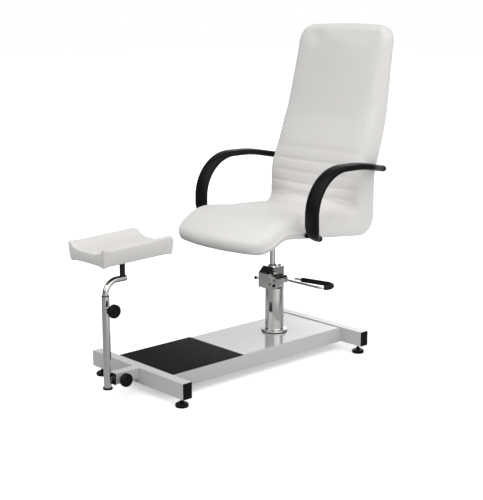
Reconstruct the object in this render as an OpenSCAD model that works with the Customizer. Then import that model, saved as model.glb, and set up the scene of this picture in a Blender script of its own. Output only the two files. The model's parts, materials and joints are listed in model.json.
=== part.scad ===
/* [Base frame] */
// Length of each crossbar, side to side
bar_length = 544; // [440:2:700]
// Height of the crossbar tube
bar_height = 60; // [50:1:80]
// Depth of the crossbar tube, front to back
bar_depth = 40; // [34:1:60]
// Wall of the crossbar tube
bar_wall = 2; // [1.5:0.5:4]
// Front face of the front crossbar to rear face of the rear one
base_length = 980; // [900:5:1200]
// Gap between the floor and the crossbars
floor_gap = 35; // [28:1:60]
// Width of the deck
deck_width = 320; // [260:2:420]
// Drop of the deck below the crossbar tops
deck_drop = 3; // [0:0.5:8]
// Thickness of the deck sheet
sheet = 3; // [2:0.5:4]
// Depth of the folded side skirts, from the deck's top
skirt = 58; // [30:1:62]
// Length of the rubber mat
mat_length = 352; // [200:2:400]
// Thickness of the rubber mat
mat_thick = 3; // [2:0.5:6]
// Origin to the front crossbar's front face
frame_front = 469; // [400:1:560]

/* [Levelling feet] */
// Diameter of a foot's pad
foot_d = 48; // [36:1:70]
// Height of a foot's pad
foot_h = 14; // [10:1:20]
// Diameter of a foot's stud
stud_d = 10; // [8:1:12]
// Distance from a crossbar's end to its foot
foot_inset = 33; // [26:1:60]

/* [Hydraulic pump] */
// Front face of the front crossbar to the pump's axis
pump_back = 712; // [600:1:800]
// Diameter of the reservoir
cylinder_d = 76; // [72:1:84]
// Wall of the reservoir
cylinder_wall = 3; // [2:0.5:5]
// Height of the reservoir over the deck
cylinder_h = 184; // [140:1:240]
// Diameter of the base flange
flange_d = 104; // [98:1:140]
// Thickness of the base flange
flange_t = 10; // [8:1:14]
// Distance of the piston rod in front of the reservoir's axis
rod_forward = 12.5; // [8:0.5:14]
// Diameter of the piston rod
rod_d = 22; // [20:0.5:28]
// Width of the pump head
head_w = 62; // [56:1:70]
// Front of the pump head to the reservoir's axis
head_front = 61; // [52:1:80]
// Height of the pump head
head_h = 90; // [80:1:120]
// Drop of the head's sloping front
head_slope = 24; // [10:1:36]
// Travel of the piston rod down from its middle height
stroke_down = 65; // [20:1:65]

/* [Foot lever] */
// Height of the lever's pin over the head's underside
pin_rise = 42; // [30:1:52]
// Gap between the head's side and the lever's barrel
lever_gap = 1; // [0.6:0.1:6]
// Diameter of the lever's pin
pin_d = 10; // [8:1:12]
// Diameter of the lever's barrel
barrel_d = 28; // [24:1:32]
// Length of the lever's barrel
barrel_l = 48; // [34:1:50]
// Diameter of the lever's rod
lever_d = 9; // [8:0.5:12]
// Reach of the lever from the pump's middle plane to its bend
lever_reach = 270; // [220:1:320]
// Gap between the middles of the pedal loop's two legs
loop_width = 72; // [50:1:90]
// Length of the returning leg
return_l = 150; // [80:1:160]
// Bare end of the returning leg, past the grip
bare_end = 30; // [10:1:50]
// Diameter of the grip
grip_d = 19; // [15:0.5:24]
// How far the returning leg closes on the first
loop_close = 32; // [0:1:36]

/* [Seat and back] */
// Height of the seat's edge over the floor, above the piston rod
seat_height = 596; // [560:1:640]
// Width of the seat
seat_width = 512; // [440:2:560]
// Width of the back at its top
top_width = 498; // [400:2:560]
// Piston rod to the front corners of the seat
seat_front = 304; // [260:1:360]
// Piston rod to the lower front of the back
back_front = 222; // [190:1:260]
// Slope of the seat, down towards the back
seat_slope = 4.4; // [0:0.2:8]
// Slope of the seat's underside
under_slope = 5.5; // [2:0.5:8]
// Angle of the seat's drooping front edge
droop = 35; // [20:1:45]
// Thickness of the drooping front edge
nose_thick = 62; // [54:1:68]
// Middle of the front edge below the seat's edge
nose_drop = 79; // [60:1:84]
// Length of the drooping front
nose_length = 100; // [90:1:120]
// Seat's edge to the underside at the rod
seat_thick = 80; // [74:1:90]
// Thickness of the back over the lumbar roll
back_thick = 105; // [90:1:120]
// Thickness of the back near its top
top_thick = 54; // [50:1:70]
// Height of the back's top over the seat's edge
back_height = 720; // [600:2:800]
// Height of the lumbar bend over the seat's edge
lumbar_height = 138; // [110:1:170]
// Lean of the back over the lumbar bend
lumbar_lean = 19.3; // [14:0.1:22]
// Lean of the back at its top
top_lean = 13.8; // [8:0.1:18]
// Height of the upper bend over the seat's edge
bend_height = 387; // [350:1:440]
// Radius of the crease between seat and back
crease_r = 45; // [36:1:56]
// Bow of the seat's front edge, forward of its corners
nose_bow = 50; // [0:1:60]
// Crown of the cushion over its edges
crown = 12; // [4:1:18]
// Number of sewn channels across the lumbar roll
channels = 5; // [3:1:7]
// Distance between two channels
channel_pitch = 47; // [36:1:56]
// Depth of a channel
channel_depth = 6; // [3:0.5:9]
// Thickness of the plywood shell
board_t = 15; // [12:1:18]
// Thickness of the panels that cover the shell
cover_t = 9; // [6:1:12]
// Cushion's edge to the plywood
rim = 34; // [26:1:46]

/* [Armrests] */
// Seat's side to the middle of an armrest's pad
arm_gap = 60; // [42:1:84]
// Width of an armrest's pad
arm_w = 63; // [44:1:68]
// Width of an armrest at its ends
arm_end_w = 38; // [30:1:46]
// Thickness of an armrest
arm_t = 26; // [18:1:30]
// Top of an armrest over the seat's edge
arm_rise = 207; // [190:1:240]
// Piston rod to the armrest's front
arm_front = 118; // [112:1:150]
// Piston rod to the armrest's rear end
arm_back = 337; // [317:5:377]
// Radius of the armrest's upper bend
arm_bend = 166; // [120:1:170]
// Diameter of the armrest's bolts
arm_bolt_d = 8; // [6:1:10]

/* [Footrest] */
// Length of the stub tube in front of the front crossbar
stub_length = 106; // [80:1:120]
// Side of the square stub tube
stub_side = 40; // [38:1:50]
// Diameter of the post
post_d = 28; // [26:1:34]
// Wall of the post
post_wall = 2; // [1.5:0.5:3]
// Top of the post over the floor
post_top = 384; // [300:1:460]
// Diameter of the bent tube
bend_d = 22; // [18:1:23]
// Radius of the bent tube's curve
bend_r = 50; // [42:1:70]
// Front crossbar to the post's axis
post_front = 128; // [116:1:180]
// Diameter of the post under the pad
pad_post_d = 20; // [16:1:24]
// Height of the pad's underside over the floor
pad_height = 519; // [480:1:560]
// Rise of the pad towards its rear
pad_pitch = 1.8; // [0:0.1:3]
// Length of the pad
pad_length = 304; // [240:2:360]
// Width of the pad's underside
pad_width = 206; // [180:2:260]
// Thickness of the pad in its trough
pad_thick = 44; // [36:1:60]
// Height of the pad's side lips over its trough
lip = 20; // [8:1:30]
// Diameter of a clamp knob
knob_d = 50; // [40:1:60]
// Length of travel in and out
reach_travel = 130; // [60:5:140]
// Diameter of the branch that slides in the stub
branch_d = 26; // [22:1:31]
// Length of the branch behind the front crossbar's front face, pushed in
branch_in = 150; // [120:5:300]

/* [Hidden] */
$fn = 48;

// Clearance round a running shaft, on the diameter, and between two still pieces
running = 0.1;
fit_gap = 0.2;

// Heights and places of the base
bar_top = floor_gap + bar_height;
deck_z = bar_top - deck_drop;
front_y = -frame_front;
rear_y = front_y + base_length;
deck_y = front_y + bar_depth;
deck_l = base_length - 2 * bar_depth;
cap_t = 2.5;
foot_x = bar_length / 2 - foot_inset;
foot_ys = [front_y + bar_depth / 2, rear_y - bar_depth / 2];
foot_nut_d = stud_d + 10;
foot_nut_h = 12;
plug_l = 10;
fold_r = 5;
support_l = 120;
support_h = 36;
bush_flange = 4;

// Heights and places of the pump
pump_y = front_y + pump_back;
rod_y = pump_y - rod_forward;
flange_top = deck_z + flange_t;
flange_round = 3;
head_z = deck_z + cylinder_h;
head_top = head_z + head_h;
head_y = pump_y - head_front;
head_chin = 6;
support_t = 6;
bolt_ring = cylinder_d / 2 + 5;
bolt_d = 6;
bolt_head_d = 10;
bolt_head_h = 5;
tube_d = rod_d + 9;
tube_bore = rod_d + 4;
gland_d = rod_d + 10;
gland_depth = 14;
gland_rise = 4;
wiper_h = 3;
spigot_h = 5;
piston_h = 20;
piston_gap = 2;
piston_z = flange_top + spigot_h + piston_gap + stroke_down;
tail_d = 16;
tail_l = 14;
collar_drop = 67;
collar_z = seat_height - seat_thick - collar_drop;
collar_d = rod_d + 25;
rod_grip = 50;
rod_top = collar_z + rod_grip;
plug_x = 11;
plug_y = rod_y + 29;
plug_d = 8;
plug_depth = 8;

// Lever, its pin and the little pump that it drives
pin_z = head_z + pin_rise;
pin_out = head_w / 2 + lever_gap + barrel_d / 2;
lug_t = 8;
lug_r = 15;
lug_low = 30;
screw_d = 8;
screw_head = 4;
screw_low = 21;
barrel_y = pump_y - 17;
lever_y = barrel_y + 15;
screw_y = barrel_y - barrel_l / 2 - lug_t;
barrel_gap = 0.25;
finger_w = 10;
finger_t = 8;
finger_reach = 28;
finger_x = pin_out - finger_reach;
close_angle = asin(loop_close / return_l);
grip_angle = 50;
bend_steps = 14;
finger_y = barrel_y - 16;
slot_gap = 1;
slot_up = 17;
slot_down = 8;
plunger_d = 12;
plunger_x = pin_out - 24;
plunger_z = pin_z + finger_t / 2 + 0.4;
plunger_h = 19;
spring_top = head_top - 8;
spring_wire = 1.4;
spring_turns = 4;
lock_d = 6;
lock_y = pump_y - 22;
lock_z = head_z + 27;
lock_ball_d = 14;
lock_out = 88;
lock_in = 14;

// Seat and back: corners of the top line and of the under line, with their radii.
// Each corner is [distance behind the rod, height over the seat's edge].
nose_r = nose_thick / 2;
nose_mid = [nose_r - seat_front, -nose_drop];
nose_up = [-sin(droop), cos(droop)];
top_line = [
    nose_mid + nose_r * nose_up,
    [nose_length - seat_front, (seat_front - nose_length) * tan(seat_slope)],
    [back_front, -back_front * tan(seat_slope)],
    [back_front, lumbar_height],
    [back_front + (bend_height - lumbar_height) * tan(lumbar_lean), bend_height],
    [back_front + (bend_height - lumbar_height) * tan(lumbar_lean)
        + (back_height - top_thick / 2 - bend_height) * tan(top_lean), back_height - top_thick / 2]];
under_bend = nose_length + 27 - seat_front;
rear_rise = 6;
rear_bend = bend_height - 58;
under_line = [
    nose_mid - nose_r * nose_up,
    [under_bend, -seat_thick - under_bend * tan(under_slope)],
    [back_front + back_thick, -seat_thick - (back_front + back_thick) * tan(under_slope)],
    [back_front + back_thick, lumbar_height + rear_rise],
    [back_front + back_thick + (rear_bend - lumbar_height - rear_rise) * tan(lumbar_lean), rear_bend],
    top_line[5] + [top_thick, 0]];
top_radii = [0, 150, crease_r, 300, 900, 0];
under_radii = [0, 110, 75, 190, 900, 0];
seat_corner = 70;
top_corner = 58;
top_bow = 9;
bow_reach = 220;
front_round = 34;
rear_round = 16;
board_half = seat_width / 2 - rim;
board_start = 0.75;
board_end = 8.9;
cover_split = 3.02;
recess = cover_t + board_t;
roll_swell = 2;
plate_w = 150;
plate_l = 220;
plate_thick = 5;
plate_lip = 10;
plate_bolt_d = 8;
plate_bolt_x = 55;
plate_bolt_y = 80;
tee_d = 11;
tee_flange = 2;
collar_screw_z = 15;

// Armrests: corners of the middle line, as for the seat
arm_side = seat_width / 2 + 9;
arm_out = seat_width / 2 + arm_gap;
arm_x_end = arm_side + arm_end_w / 2;
arm_slope = 10.1;
arm_low = [-28, -74];
arm_turn = [-arm_front + arm_t / 2, -42];
arm_crest = [arm_turn[0], arm_rise - arm_t / 2];
arm_peak = [165, arm_crest[1]];
arm_rear = [arm_back, arm_crest[1] - (arm_back - arm_peak[0]) * tan(arm_slope)];
arm_line = [arm_low, arm_turn, arm_crest, arm_peak, arm_rear];
arm_radii = [0, 62, arm_bend, 600, 0];
arm_sides = 16;
bolt_grip = 30;
bolt_head_deep = 8;
spacer_d = 22;

// Footrest
stub_z = bar_top - stub_side / 2;
stub_wall = 2;
post_y = front_y - post_front;
post_foot = floor_gap + 8;
post_bore = post_d - 2 * post_wall;
knob_low_y = front_y - stub_length + 24;
knob_high_z = post_top - 45;
knob_stud = 8;
knob_gap = 0.3;
knob_head = 18;
knob_out = 60;
knob_neck_d = 20;
nut_d = 18;
nut_t = 9;
inner_wall = 2;
inner_drop = 150;
bush_l = 80;
bush_top = 3;
bend_start = post_top + bush_top + 1;
bend_run = 37;
bend_top = bend_start + bend_r;
pad_y = post_y + bend_r + bend_run - 10;
plate_t = 4;
pad_board_t = 12;
pad_board_w = pad_width - 36;
pad_board_l = pad_length - 38;
board_round = 12;
pad_lean = 16;
pad_round = 7;
pad_caps = [10, 40, 70, 90];
lip_rise = 4;
pad_screw_x = 50;
pad_screw_y = 70;
pad_screw_d = 5;
knob_edge = 6;

// ---- Helpers -------------------------------------------------------------

function unit(v) = v / norm(v);
function mix(a, b, f) = a + (b - a) * f;

// Angle through which a line turns at corner i of the list c
function turn(c, i) = acos(unit(c[i] - c[i - 1]) * unit(c[i + 1] - c[i]));

// Distance from corner i to where its rounding starts
function cut(c, r, i) = i == 0 || i == len(c) - 1 ? 0 : r[i] * tan(turn(c, i) / 2);

// Point on a rounded line. Even parts are the straight runs and odd parts the
// rounded corners, so two lines with as many corners are in step.
function on_line(c, r, t) =
    let(part = min(floor(t), 2 * len(c) - 4), f = t - part, i = ceil(part / 2))
    part % 2 == 0 ? on_run(c, r, i, f) : on_corner(c, r, i, f);
function on_run(c, r, i, f) =
    let(u = unit(c[i + 1] - c[i]))
    mix(c[i] + u * cut(c, r, i), c[i + 1] - u * cut(c, r, i + 1), f);
function on_corner(c, r, i, f) =
    let(u = unit(c[i] - c[i - 1]), v = unit(c[i + 1] - c[i]), a = turn(c, i),
        n = unit(v - (u * v) * u))
    c[i] - u * cut(c, r, i) + r[i] * (sin(a * f) * u + (1 - cos(a * f)) * n);

// Closed skin over rings of equal length, with a fan over each end
module skin(rings) {
    n = len(rings[0]);
    m = len(rings);
    points = concat([for (ring = rings) each ring], [middle(rings[0]), middle(rings[m - 1])]);
    sides = [for (i = [0 : m - 2], j = [0 : n - 1])
        let(k = (j + 1) % n, a = i * n, b = a + n)
        each [[a + j, b + j, b + k], [a + j, b + k, a + k]]];
    ends = [for (j = [0 : n - 1])
        let(k = (j + 1) % n, b = (m - 1) * n)
        each [[m * n, j, k], [m * n + 1, b + k, b + j]]];
    polyhedron(points, concat(sides, ends), convexity = 8);
}
function middle(ring) = [for (p = ring) 1] * ring / len(ring);

// Rectangle with round corners, about its middle
module rounded(w, d, r) {
    square([w - 2 * r, d], center = true);
    square([w, d - 2 * r], center = true);
    for (x = [r - w / 2, w / 2 - r], y = [r - d / 2, d / 2 - r]) translate([x, y]) circle(r);
}

// Outlines drawn in the side plane or the front plane, drawn out along X or Y
module along_x(x, l) translate([x, 0, 0]) rotate([90, 0, 90]) linear_extrude(l) children();
module along_front(y, l) translate([0, y + l, 0]) rotate([90, 0, 0]) linear_extrude(l) children();

// Cylinders along X and Y
module rod_x(x, l, d) translate([x, 0, 0]) rotate([0, 90, 0]) cylinder(h = l, d = d);
module rod_y(y, l, d) translate([0, y, 0]) rotate([-90, 0, 0]) cylinder(h = l, d = d);

// Block from its middle in X, its front and its underside
module block(w, y, l, z, h) translate([-w / 2, y, z]) cube([w, l, h]);

module mirrored() {
    children();
    mirror([1, 0, 0]) children();
}

// ---- Base frame ----------------------------------------------------------

paint = "#dfe1e2";
black = "#1b1b1f";
chrome = "#c9ccd0";
steel = "#8d9096";
rubber = "#242424";
white = "#d9d8d5";
wood = "#c8a878";

module crossbar(y) {
    l = bar_length - 2 * cap_t;
    difference() {
        block(l, y, bar_depth, floor_gap, bar_height);
        block(l + 2, y + bar_wall, bar_depth - 2 * bar_wall, floor_gap + bar_wall,
            bar_height - 2 * bar_wall);
        for (x = [-foot_x, foot_x]) translate([x, y + bar_depth / 2, floor_gap - 1])
            cylinder(h = bar_wall + 2, d = stud_d + fit_gap);
    }
}
module front_crossbar() color(paint) difference() {
    crossbar(front_y);
    translate([0, 0, stub_z]) rod_y(front_y - 1, bar_depth + 2, branch_d + 2);
}
module rear_crossbar() color(paint) crossbar(rear_y - bar_depth);

// Plastic caps: a plate over the end and a plug inside the tube
module crossbar_caps() color(black)
    mirrored() for (y = [front_y, rear_y - bar_depth]) translate([bar_length / 2 - cap_t, y, floor_gap]) {
        cube([cap_t, bar_depth, bar_height]);
        translate([-plug_l, bar_wall, bar_wall])
            cube([plug_l, bar_depth - 2 * bar_wall, bar_height - 2 * bar_wall]);
    }

// Outline of the folded deck: a sheet with its two sides bent down
module fold(w, h, r) {
    translate([-w / 2, -h]) square([w, h - r]);
    translate([r - w / 2, -r]) square([w - 2 * r, r]);
    for (x = [-1, 1]) translate([x * (w / 2 - r), -r]) circle(r);
}
module platform() color(paint) difference() {
    translate([0, 0, deck_z]) along_front(deck_y, deck_l) difference() {
        fold(deck_width, skirt, fold_r);
        translate([0, -sheet]) fold(deck_width - 2 * sheet, skirt, fold_r - sheet);
    }
    pump_bolt_holes();
}

// Channel under the deck that carries the pump
module pump_support() color(paint) difference() {
    w = deck_width - 2 * sheet;
    translate([0, 0, deck_z - sheet]) along_front(pump_y - support_l / 2, support_l)
        fold(w, support_h, fold_r - sheet);
    block(w + 2, pump_y - support_l / 2 + support_t, support_l - 2 * support_t,
        deck_z - sheet - support_h - 1, support_h - support_t + 1);
    pump_bolt_holes();
}
module at_pump_bolts() for (a = [45 : 90 : 315])
    translate([0, pump_y, 0]) rotate([0, 0, a]) translate([bolt_ring, 0, 0]) children();
module pump_bolt_holes() at_pump_bolts() cylinder(h = flange_top, d = bolt_d);

module floor_mat() color(rubber) block(deck_width, deck_y, mat_length, deck_z, mat_thick);

module foot_nuts() color(steel) mirrored() for (y = foot_ys) translate([foot_x, y, floor_gap + bar_wall])
    difference() {
        cylinder(h = foot_nut_h, d = foot_nut_d, $fn = 6);
        translate([0, 0, -1]) cylinder(h = foot_nut_h + 2, d = stud_d + running);
    }

// Levelling foot: a pad with a hexagon and a threaded stud
module foot(x, y) color(black) translate([x, y, 0]) {
    rotate_extrude() polygon([[0, 0], [foot_d / 2 - 2, 0], [foot_d / 2, 2], [foot_d / 2, foot_h - 4],
        [foot_d / 2 - 4, foot_h], [0, foot_h]]);
    translate([0, 0, foot_h]) cylinder(h = 7, d = stud_d + 8, $fn = 6);
    cylinder(h = floor_gap + bar_wall + foot_nut_h + 5, d = stud_d);
}
module foot_front_left() foot(foot_x, foot_ys[0]);
module foot_front_right() foot(-foot_x, foot_ys[0]);
module foot_rear_left() foot(foot_x, foot_ys[1]);
module foot_rear_right() foot(-foot_x, foot_ys[1]);

// Square stub tube that takes the footrest
module footrest_stub() color(paint) difference() {
    block(stub_side, front_y - stub_length, stub_length, stub_z - stub_side / 2, stub_side);
    stub_hollow(stub_length + 2, stub_side - 2 * stub_wall);
    translate([0, knob_low_y, stub_z]) rod_x(0, stub_side, knob_stud + fit_gap);
}
module stub_hollow(l, side) block(side, front_y - stub_length - 1, l, stub_z - side / 2, side);

// Plastic bush in the stub, with a flange in front of it
module stub_bush() color(black) difference() {
    union() {
        block(stub_side - 2 * stub_wall, front_y - stub_length, stub_length,
            stub_z - stub_side / 2 + stub_wall, stub_side - 2 * stub_wall);
        block(stub_side + 2, front_y - stub_length - bush_flange, bush_flange, stub_z - stub_side / 2 - 1,
            stub_side + 2);
    }
    translate([0, 0, stub_z]) rod_y(front_y - stub_length - bush_flange - 1,
        stub_length + bush_flange + 2, branch_d + running);
    translate([0, knob_low_y, stub_z]) rod_x(0, stub_side, knob_stud + fit_gap);
}

module clamp_nut(x) rotate([0, 90, 0]) difference() {
    translate([0, 0, x]) cylinder(h = nut_t, d = nut_d);
    cylinder(h = 2 * stub_side, d = knob_stud + running);
}
module lower_clamp_nut() color(steel) translate([0, knob_low_y, stub_z]) clamp_nut(stub_side / 2);

// ---- Hydraulic pump ------------------------------------------------------

// Base flange with a spigot inside the reservoir
module pump_flange() color(chrome) difference() {
    translate([0, pump_y, deck_z]) rotate_extrude() {
        square([flange_d / 2 - flange_round, flange_t]);
        square([flange_d / 2, flange_t - flange_round]);
        translate([flange_d / 2 - flange_round, flange_t - flange_round]) circle(flange_round);
        square([cylinder_d / 2 - cylinder_wall, flange_t + spigot_h]);
    }
    pump_bolt_holes();
    at_pump_bolts() translate([0, 0, flange_top - bolt_head_h])
        cylinder(h = bolt_head_h + 1, d = bolt_head_d);
}
module pump_bolts() color(steel) at_pump_bolts() {
    nut_z = deck_z - sheet - support_t - bolt_head_h;
    translate([0, 0, nut_z]) cylinder(h = flange_top - nut_z, d = bolt_d);
    translate([0, 0, nut_z]) cylinder(h = bolt_head_h, d = bolt_head_d + 1, $fn = 6);
    translate([0, 0, flange_top - bolt_head_h]) difference() {
        cylinder(h = bolt_head_h, d = bolt_head_d);
        translate([0, 0, bolt_head_h / 2]) cylinder(h = bolt_head_h, d = bolt_head_d / 2, $fn = 6);
    }
}
module pipe(h, d, bore) difference() {
    cylinder(h = h, d = d);
    translate([0, 0, -1]) cylinder(h = h + 2, d = bore);
}
module pump_cylinder() color(chrome) translate([0, pump_y, flange_top])
    pipe(head_z - flange_top, cylinder_d, cylinder_d - 2 * cylinder_wall);
module pressure_tube() color(steel) translate([0, rod_y, flange_top + spigot_h])
    pipe(head_z - flange_top - spigot_h, tube_d, tube_bore);

// Outline of the pump head from the side and from above
module head_side() polygon([[head_y, head_z + head_chin], [pump_y - cylinder_d / 2, head_z],
    [pump_y + cylinder_d, head_z], [pump_y + cylinder_d, head_top],
    [head_y + head_slope + 3, head_top], [head_y, head_top - head_slope]]);
module head_plan() intersection() {
    translate([-head_w / 2, head_y]) square([head_w, head_front + cylinder_d]);
    union() {
        translate([-head_w, head_y]) square([2 * head_w, head_front]);
        translate([0, pump_y]) circle(d = cylinder_d);
    }
}

// Lugs that hold the lever's pin, beside the head
module lug(y, low) along_front(y, lug_t) {
    translate([pin_out, pin_z]) circle(lug_r);
    translate([head_w / 2, pin_z - low]) square([pin_out - head_w / 2, low + lug_r]);
    translate([head_w / 2, pin_z - low]) square([pin_out - head_w / 2 + lug_r - 3, low]);
}
module pump_head() color(chrome) difference() {
    union() {
        intersection() {
            along_x(-head_w, 2 * head_w) head_side();
            translate([0, 0, head_z]) linear_extrude(head_h) head_plan();
        }
        lug(barrel_y - barrel_l / 2 - lug_t, lug_low);
        lug(barrel_y + barrel_l / 2, lug_r);
    }
    translate([0, rod_y, head_z - 1]) cylinder(h = head_h + 2, d = rod_d + 2);
    translate([0, rod_y, head_top - gland_depth]) cylinder(h = gland_depth + 1, d = gland_d);
    translate([pin_out, 0, pin_z]) rod_y(barrel_y - barrel_l, 2 * barrel_l, pin_d);
    translate([finger_x - slot_gap, finger_y - finger_w / 2 - slot_gap, pin_z - slot_down])
        cube([head_w, finger_w + 2 * slot_gap, slot_down + slot_up]);
    translate([plunger_x, finger_y, pin_z]) cylinder(h = spring_top - pin_z, d = plunger_d + running);
    translate([0, lock_y, lock_z]) rod_x(-head_w, head_w - head_w / 2 + lock_in + 1, lock_d + running);
    translate([plug_x, plug_y, head_top - plug_depth]) cylinder(h = plug_depth + 1, d = plug_d);
    translate([pin_out, 0, pin_z - screw_low]) rod_y(screw_y - 1, lug_t + 2, screw_d);
}

// Gland that guides the rod, with a collar over the head, and the wiper on it
module rod_gland() color(chrome) translate([0, rod_y, 0]) difference() {
    union() {
        translate([0, 0, head_top - gland_depth]) cylinder(h = gland_depth, d = gland_d);
        translate([0, 0, head_top]) cylinder(h = gland_rise, d = gland_d + 6);
    }
    cylinder(h = seat_height, d = rod_d + running);
}
module wiper_ring() color(black) translate([0, rod_y, head_top + gland_rise]) difference() {
    rotate_extrude() polygon([[0, 0], [gland_d / 2, 0], [gland_d / 2 - 3, wiper_h], [0, wiper_h]]);
    translate([0, 0, -1]) cylinder(h = wiper_h + 2, d = rod_d + running);
}
module filler_plug() color(steel) translate([plug_x, plug_y, head_top]) {
    translate([0, 0, -plug_depth]) cylinder(h = plug_depth, d = plug_d);
    cylinder(h = 5, d = plug_d + 5, $fn = 6);
}
module lever_pin() color(steel) translate([pin_out, 0, pin_z])
    rod_y(barrel_y - barrel_l / 2 - lug_t - 2, barrel_l + 2 * lug_t + 4, pin_d);

// Screw in the front lug that stops the lever's barrel
module stop_screw() color(black) translate([pin_out, 0, pin_z - screw_low]) difference() {
    union() {
        rod_y(screw_y - screw_head, screw_head, screw_d + 4);
        rod_y(screw_y - screw_head, screw_head + lug_t, screw_d);
    }
    translate([0, screw_y - screw_head - 1, 0]) rotate([-90, 0, 0])
        cylinder(h = screw_head, d = screw_d / 2 + 1, $fn = 6);
}

// Return spring over the plunger: one wire wound as a helix
module plunger_spring() color(steel) {
    low = plunger_z + plunger_h + spring_wire / 2;
    high = spring_top - spring_wire / 2;
    r = plunger_d / 2 - spring_wire / 2 - 0.3;
    skin([for (i = [0 : 8 * spring_turns])
        let(a = i * 45, z = mix(low, high, i / (8 * spring_turns)))
        [for (b = [0 : 60 : 300]) let(q = r + spring_wire / 2 * cos(b))
            [plunger_x + q * cos(a), finger_y + q * sin(a), z + spring_wire / 2 * sin(b)]]]);
}

// Rod and the piston that it turns in
module piston_rod() color(chrome) translate([0, rod_y, 0]) {
    translate([0, 0, piston_z + piston_h]) cylinder(h = rod_top - piston_z - piston_h, d = rod_d);
    translate([0, 0, piston_z + piston_h - tail_l]) cylinder(h = tail_l, d = tail_d);
}
module piston() color(steel) translate([0, rod_y, piston_z]) difference() {
    cylinder(h = piston_h, d = tube_bore - running);
    translate([0, 0, piston_h - tail_l]) cylinder(h = tail_l + 1, d = tail_d + running);
}

// ---- Foot lever ----------------------------------------------------------

// Barrel on the pin, with the finger that lifts the plunger
module lever_barrel() color(chrome) difference() {
    union() {
        translate([pin_out, 0, pin_z]) rod_y(barrel_y - barrel_l / 2 + barrel_gap,
            barrel_l - 2 * barrel_gap, barrel_d);
        translate([finger_x + finger_t / 2, finger_y - finger_w / 2, pin_z - finger_t / 2])
            cube([pin_out - finger_x, finger_w, finger_t]);
        translate([finger_x + finger_t / 2, 0, pin_z]) rod_y(finger_y - finger_w / 2, finger_w, finger_t);
    }
    translate([pin_out, 0, pin_z]) rod_y(barrel_y - barrel_l, 2 * barrel_l, pin_d + running);
}

// The lever's line: out along X, round a half turn and back, closing on itself.
// Each point is [x, y, direction].
bend_x = lever_reach - loop_width / 2;
full_turn = 180 + close_angle;
function lever_bend(a) = [bend_x + loop_width / 2 * sin(a), lever_y + loop_width / 2 * (1 - cos(a)), a];
function lever_path(first, from, back) = concat(first,
    [for (i = [0 : bend_steps]) lever_bend(mix(from, full_turn, i / bend_steps))],
    [lever_bend(full_turn) + back * [cos(full_turn), sin(full_turn), 0]]);
module lever_line(d, path) skin([for (p = path)
    [for (b = [0 : 22.5 : 359]) [p.x - sin(p.z) * d / 2 * cos(b), p.y + cos(p.z) * d / 2 * cos(b),
        pin_z + d / 2 * sin(b)]]]);
module lever_rod() color(chrome) difference() {
    lever_line(lever_d, lever_path([[pin_out, lever_y, 0]], 0, return_l));
    translate([pin_out, 0, pin_z]) rod_y(barrel_y - barrel_l, 2 * barrel_l, barrel_d);
}
module pedal_grip() color(rubber) difference() {
    lever_line(grip_d, lever_path([], grip_angle, return_l - bare_end));
    lever_line(lever_d, lever_path([[pin_out, lever_y, 0]], 0, return_l));
}
module pump_plunger() color(steel) translate([plunger_x, finger_y, plunger_z])
    cylinder(h = plunger_h, d = plunger_d);

// Swivel lock: a small plunger in the head's side, pulled by a ball
module lock_plunger() color(chrome) translate([0, lock_y, lock_z])
    rod_x(-lock_out, lock_out - head_w / 2 + lock_in, lock_d);
module lock_ball() color(black) translate([-lock_out, lock_y, lock_z]) difference() {
    sphere(d = lock_ball_d);
    rod_x(0, lock_ball_d, lock_d);
}

// ---- Seat ----------------------------------------------------------------

// Places things on the seat's sloping underside, over the rod
module under_seat()
    translate([0, rod_y, seat_height - seat_thick]) rotate([-under_slope, 0, 0]) children();
module at_plate_bolts() under_seat()
    for (x = [-plate_bolt_x, plate_bolt_x], y = [-plate_bolt_y, plate_bolt_y])
        translate([x, y, 0]) children();

module seat_collar() color(black) difference() {
    translate([0, rod_y, collar_z]) cylinder(h = 2 * seat_thick, d = collar_d);
    under_seat() block(2 * collar_d, -collar_d, 2 * collar_d, -plate_thick, 3 * seat_thick);
    translate([0, rod_y, 0]) cylinder(h = rod_top, d = rod_d);
    translate([0, rod_y, collar_z + collar_screw_z]) rod_x(-collar_d, 2 * collar_d, screw_d);
}
module collar_screws() color(steel) mirrored() difference() {
    translate([0, rod_y, collar_z + collar_screw_z]) rod_x(0, collar_d / 2 + 1, screw_d);
    translate([0, rod_y, 0]) cylinder(h = rod_top, d = rod_d);
}

// Pressed plate with two folded lips
module seat_plate() color(black) difference() {
    under_seat() along_front(-plate_l / 2, plate_l) translate([-plate_w / 2, -plate_thick]) {
        square([plate_w, plate_thick]);
        for (x = [0, plate_w - plate_thick])
            translate([x, -plate_lip]) square([plate_thick, plate_lip + 1]);
    }
    at_plate_bolts() translate([0, 0, -plate_thick - 1]) cylinder(h = plate_thick + 2, d = plate_bolt_d);
}
module plate_bolts() color(steel) at_plate_bolts() {
    translate([0, 0, -plate_thick]) cylinder(h = recess - 2 + plate_thick, d = plate_bolt_d);
    translate([0, 0, -plate_thick - 5]) cylinder(h = 5, d = plate_bolt_d + 5, $fn = 6);
}
module tee_nuts() color(steel) at_plate_bolts() difference() {
    union() {
        translate([0, 0, cover_t]) cylinder(h = board_t, d = tee_d);
        translate([0, 0, recess - tee_flange]) cylinder(h = tee_flange, d = tee_d + 8);
    }
    cylinder(h = recess - 2, d = plate_bolt_d);
}

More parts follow.
